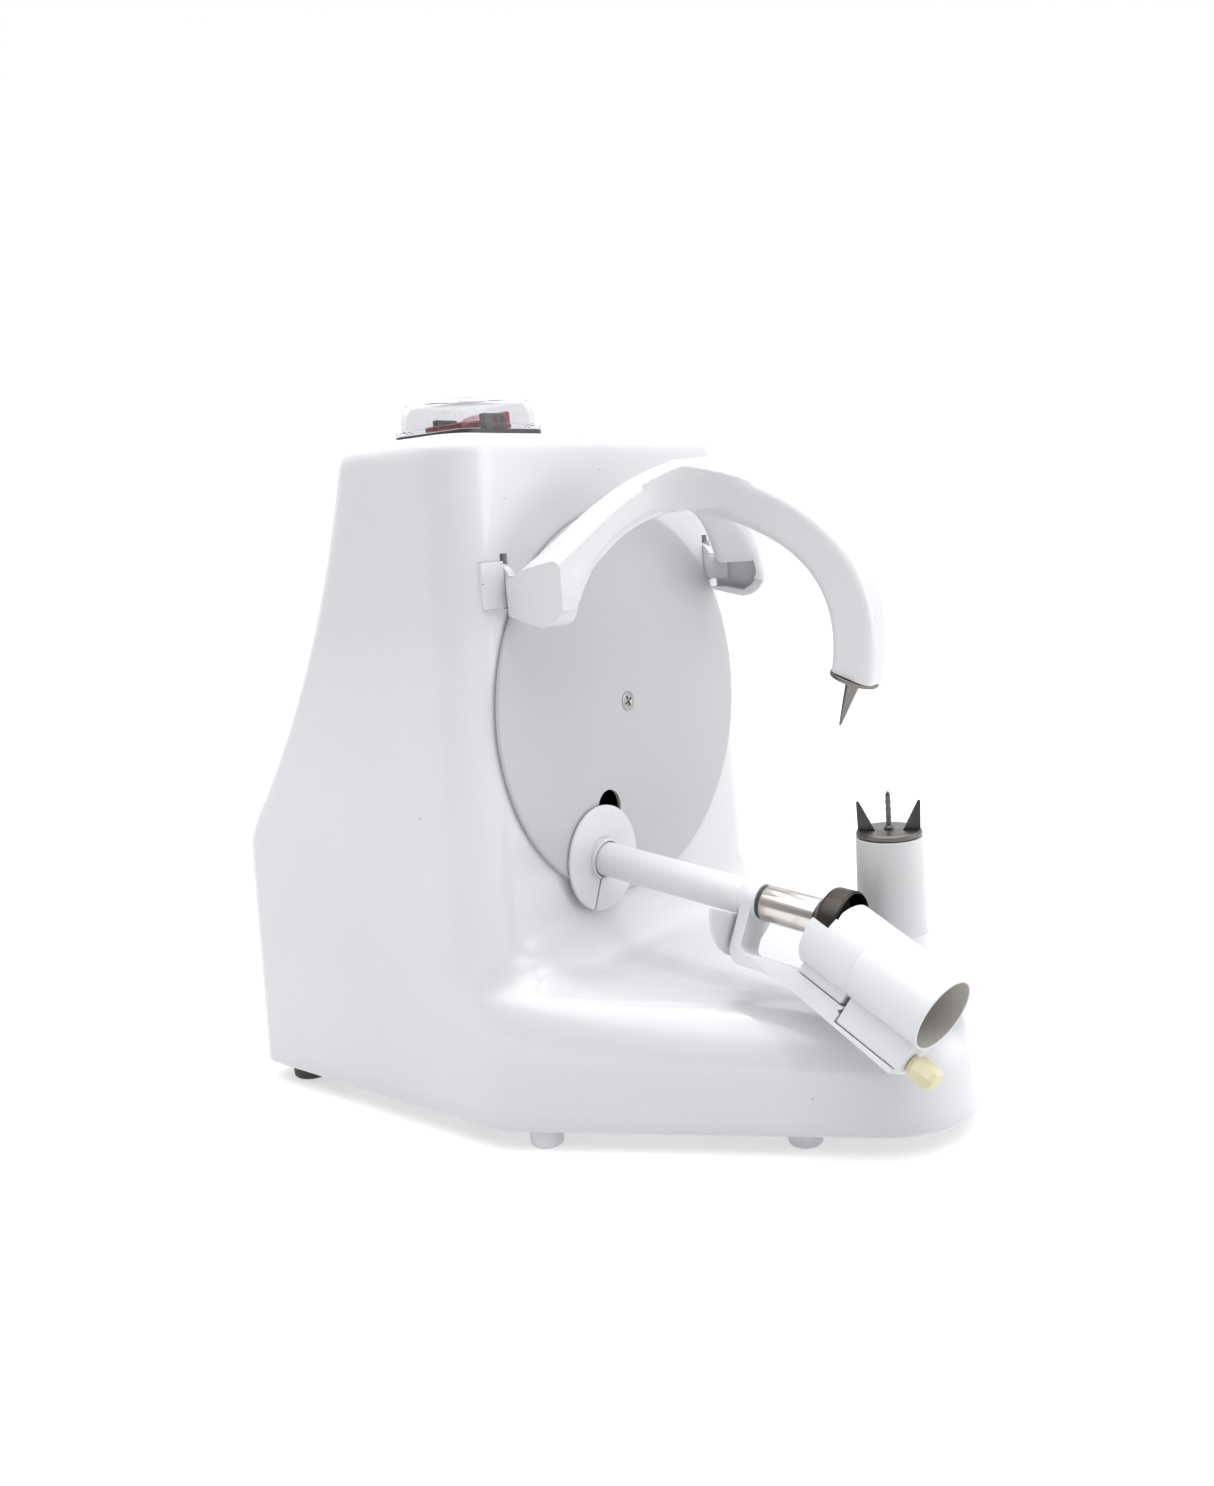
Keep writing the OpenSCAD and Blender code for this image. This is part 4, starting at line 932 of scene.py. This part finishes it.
def build_chute():
    # the tube tapers to its mouth, with a fine groove round it
    length, rear, mouth, bore = 57, 16, 15.3, 14.2
    groove, groove_end, groove_r = -33, -33 + 0.25, 15.62
    r_at = [mix(mouth, rear, -x / length) for x in (groove, groove_end)]
    outline = rounded([(bore, -length), (rear, -length), (r_at[0], groove), (groove_r, groove),
                       (groove_r, groove_end), (r_at[1], groove_end), (mouth, 0), (bore, 0)],
                      [0.3, 0.5, 0.04, 0, 0, 0.04, 0.45, 0.4], 4)
    tube = lathe("chute_tube", outline, AT_CHUTE @ ALONG_X, 128)
    slide = soften(box("slide", (-55, -6.5, -18.8), (-33, 6.5, -12), AT_CHUTE), 0.7)
    boss = soften(box("boss", (-31, -6.5, -25.3), (-0.6, 6.5, -10.5), AT_CHUTE), 0.8)
    combine(tube, [slide, boss], "UNION")
    tools = [rod("bore", bore - 0.03, -58, 1, AT_CHUTE @ ALONG_X, 96),
             box("notch", (-58, -20, 3), (-49, 20, 23), AT_CHUTE),
             rod("knob_hole", 2.05, -12, 5, AT_CHUTE @ move(0, 0, -21) @ ALONG_X, 48),
             rod("clear", CUTTER_R + 0.45, CUTTER, CUTTER + 14.4, AT_ARM @ ALONG_X, 80)]
    combine(tube, tools)
    piece(tube, "chute", ["peel_chute"], white_head, 30)
    # the faces inside the bore take the second, darker and warmer white
    tube.data.materials.append(darker_bore)
    to_chute = AT_CHUTE.inverted()
    for polygon in tube.data.polygons:
        at = to_chute @ (polygon.center / MM)
        if -56.8 < at.x < -0.25 and math.hypot(at.y, at.z) < bore + 0.05:
            polygon.material_index = 1
    knob = soften(copy_of("adjuster_knob", "knob_grip"), 0.3, 3, 30)
    piece(knob, "knob", ["adjuster_knob"], ivory, 30)


build_peel_arm()
build_chute()


# ---------------------------------------------------------------- upper arm
LEG_TURN = math.atan(0.31)
LEG_W = 20.5
SEAM_Z, SEAM_SLOPE, LEG_END = 51.6, 0.37, 76.5
ARM_EDGE_R = 4.2
LEG_AT = Vector((DISC.x + 18.7, 75, DISC.z))


def at_leg(s):
    flip = Matrix.Scale(-1, 4, (0, 1, 0)) if s < 0 else Matrix.Identity(4)
    return flip @ Matrix.Translation(LEG_AT) @ turn(LEG_TURN, "Z")


def section(centre, out, across, w, t):
    """Rounded rectangle across the arm."""
    ring = []
    for k, (i, j) in enumerate(((1, 1), (-1, 1), (-1, -1), (1, -1))):
        middle = (i * (w / 2 - ARM_EDGE_R), j * (t / 2 - ARM_EDGE_R))
        for n in range(7):
            a = math.pi / 2 * (k + n / 6)
            ring.append((middle[0] + ARM_EDGE_R * math.cos(a), middle[1] + ARM_EDGE_R * math.sin(a)))
    return [tuple(centre + across * x + out * y) for x, y in ring]


def leg_rings(front=0.0):
    """Sections along a leg, in its own frame; front widens it towards the fruit."""
    levels = [(-7, 103.5, 82.8)]
    levels += [(y, 103.5 - 27 * (y / 60) ** 1.68, 82.8 - 24.5 * (y / 60) ** 2.6) for y in range(0, 59, 2)]
    levels += [(63, 74.5, 52), (67, 71.7, 44), (71, 68.8, 41.5), (84, 60.5, 41)]
    rings = []
    for y, top, low in levels:
        width = LEG_W + 2.5 * max(y - 40, 0) / 36 + front
        centre = Vector((front / 2, (y - LEG_AT.y) / math.cos(LEG_TURN), (top + low) / 2))
        rings.append(section(centre, Vector((0, 0, 1)), Vector((-1, 0, 0)), width, top - low))
    return rings


def foot_outline():
    """The leg's foot from the side, straight behind and rounded below its front."""
    arc_points = [p[:2] for p in arc((0.5, 52), 11, 1.5 * math.pi, 2 * math.pi, 12)]
    return [(-16, 61), (-16, 45.8), (-8, 43), (0, 41)] + arc_points + [(11.5, 62)]


def beam_side(s):
    """Corner filler between a leg's front and the beam's side, as a curved corner seen from above."""
    wide_leg = rings_mesh("wide_leg", leg_rings(30), at_leg(s))
    outward(wide_leg)
    wide_beam = rings_mesh("wide_beam", beam_rings(24))
    outward(wide_beam)
    # the leg's front meets the beam's side at a corner, which a curve spans over this reach
    t = math.tan(LEG_TURN)
    side_y, reach, overlap = 9.2, 26, 9
    corner = Vector((LEG_AT.x + (LEG_AT.y - side_y) * t + (LEG_W / 2) / math.cos(LEG_TURN), side_y))
    along_beam = Vector((1, -0.03)).normalized()
    along_leg = Vector((-t, 1)).normalized()
    start, end = corner + along_beam * reach, corner + along_leg * reach
    curve = []
    for k in range(17):
        u = k / 16
        q = start * (1 - u) ** 2 + corner * 2 * u * (1 - u) + end * u ** 2
        curve.append((q.x, s * q.y))
    back = corner - (along_beam + along_leg) * overlap
    plan = curve + [(end.x - 12, s * end.y), (back.x, s * back.y), (start.x, s * (start.y - 8))]
    corner_prism = prism("corner", plan, 200, 300, axis="Z")
    combine(corner_prism, [wide_leg, wide_beam], "INTERSECT")
    return corner_prism


def beam_rings(extra=0.0):
    """Sections along the beam, on one Bezier curve from the legs to the spike's plate."""
    p = [DISC + Vector(v) for v in ((38, 0, 94.3), (66.6, 0, 86.6), (130.1, 0, 72.3), (PLATE_AHEAD, 0, 9.5))]
    rings = []
    for k in range(61):
        t = k / 60
        u = 1 - t
        centre = p[0] * u ** 3 + p[1] * 3 * t * u ** 2 + p[2] * 3 * t ** 2 * u + p[3] * t ** 3
        way = ((p[1] - p[0]) * u ** 2 + (p[2] - p[1]) * 2 * t * u + (p[3] - p[2]) * t ** 2).normalized()
        rings.append(section(centre, way.cross(Vector((0, 1, 0))), Vector((0, 1, 0)),
                             mix(20, 16, t) + 2 * extra, mix(19.5, 18, t)))
    return rings


def tongue(s):
    """Space of the flat tongue from the hinge to the foot."""
    hub_low, hub_high = box_mm("hub_left")
    x, z = (hub_low.x + hub_high.x) / 2, (hub_low.z + hub_high.z) / 2
    low, high = sorted((s * 70.5, s * 74))
    r = 8.8
    return [rod("tongue", r, low, high, move(x, 0, z) @ ALONG_Y, 64),
            box("tongue", (x, low, z - r), (x + 18, high, z + 3.2))]


def arm_skin():
    """Beam, legs, feet and corner fillers under one faired skin."""
    arm = rings_mesh("lift_arm", beam_rings())
    outward(arm)
    parts = [arm]
    for s in (1, -1):
        leg = rings_mesh("leg", leg_rings(), at_leg(s))
        outward(leg)
        parts.append(leg)
        parts.append(prism("foot", foot_outline(), -9.5, 10, at_leg(s)))
        parts.append(beam_side(s))
    with bpy.context.temp_override(active_object=arm, selected_objects=parts,
                                   selected_editable_objects=parts):
        bpy.ops.object.join()
    remesh = arm.modifiers.new("skin", "REMESH")
    remesh.mode = "VOXEL"
    remesh.voxel_size = 0.8 * MM
    fair = arm.modifiers.new("fair", "SMOOTH")
    fair.factor = 0.5
    fair.iterations = 9
    bpy.context.view_layer.update()
    bake(arm)
    return arm


def foot_hollow(s):
    """The room inside a foot, open towards the hinge."""
    rings = []
    for y, top in ((-16, 72.5), (12, 55)):
        outline = rounded([(-7.6, top), (8, top), (8.2, 52), (5, 46.5), (0.5, 44), (-7.6, 46)],
                          [1.5, 2.5, 3, 3, 2, 0.5], 4)
        rings.append([(x, y, z) for x, z in outline])
    room = rings_mesh("hollow", rings, at_leg(s))
    outward(room)
    open_back = box("open_back", (-22, -16, 46), (-7, 12, 60), at_leg(s))
    outward(open_back)
    combine(room, [open_back], "UNION")
    low, high = sorted((0, s * 73))
    combine(room, [box("inside", (-50, low, DISC.z), (60, high, DISC.z + 110))], "INTERSECT")
    return room


def build_upper_arm():
    arm = arm_skin()
    tools = [box("plate_room", (-30, -30, -60), (30, 30, 0.3), AT_PLATE),
             rod("bush_room", 5, -1, 15, AT_PLATE)]
    for s in (1, -1):
        tools += tongue(s)
    for s in (1, -1):
        seam = at_leg(s) @ move(0, 10, SEAM_Z) @ turn(math.atan(SEAM_SLOPE), "Y")
        below = box("below", (-40, -40, -80), (40, 40, 0), seam)
        outward(below)
        low, high = sorted((s * LEG_END, s * 110))
        room = foot_hollow(s)
        tools += [below, box("past", (-50, low, DISC.z), (100, high, DISC.z + 100)), room]
    combine(arm, tools)
    piece(arm, "upper_arm", ["upper_arm"], white_arm, 40)
    for name in ("arm_foot_left", "arm_foot_right"):
        cup = soften(copy_of(name, name.replace("arm_foot", "foot_cup")), 1.1, 3, 40)
        piece(cup, "upper_arm", [name], white_arm, 40)
    for name in ("hub_left", "hub_right"):
        hub = soften(copy_of(name, name.replace("hub", "hinge_hub")), 0.9, 3, 40)
        piece(hub, "base", [name], white_shell, 40)
    low, high = box_mm("spike_plate")
    outline = [(0, -21.7), (0.35, -21.4), (0.6, -20.4), (3.2, -1.6)]
    outline += rounded([(3.2, -1.6), (10, -1.6), (10, 0), (3, 0)], [0.4, 0.35, 0.3, 0.2], 4, False)[1:]
    outline += [(3, 13.7), (2.7, 14), (0, 14)]
    spike = lathe("spike_disc", outline, AT_PLATE, 96)
    piece(spike, "spike", ["spike_plate"], spike_steel, 30)


build_upper_arm()


# ---------------------------------------------------------------- switch and inlet
def build_switch():
    for node, name, width, steps, angle, body, slot, material in (
            ("switch_frame", "switch_bed", 0.35, 2, 40, "base", "black_plastic", black),
            ("switch_cover", "switch_hood", 0.7, 3, 40, "base", "smoky_cover", smoky),
            ("switch_rocker", "switch_key", 0.5, 3, 30, "rocker", "rocker_red", red),
            ("mains_inlet", "inlet_socket", 0.5, 2, 40, "base", "black_plastic", black)):
        piece(soften(copy_of(node, name), width, steps, angle), body, [node], material, 40)


build_switch()
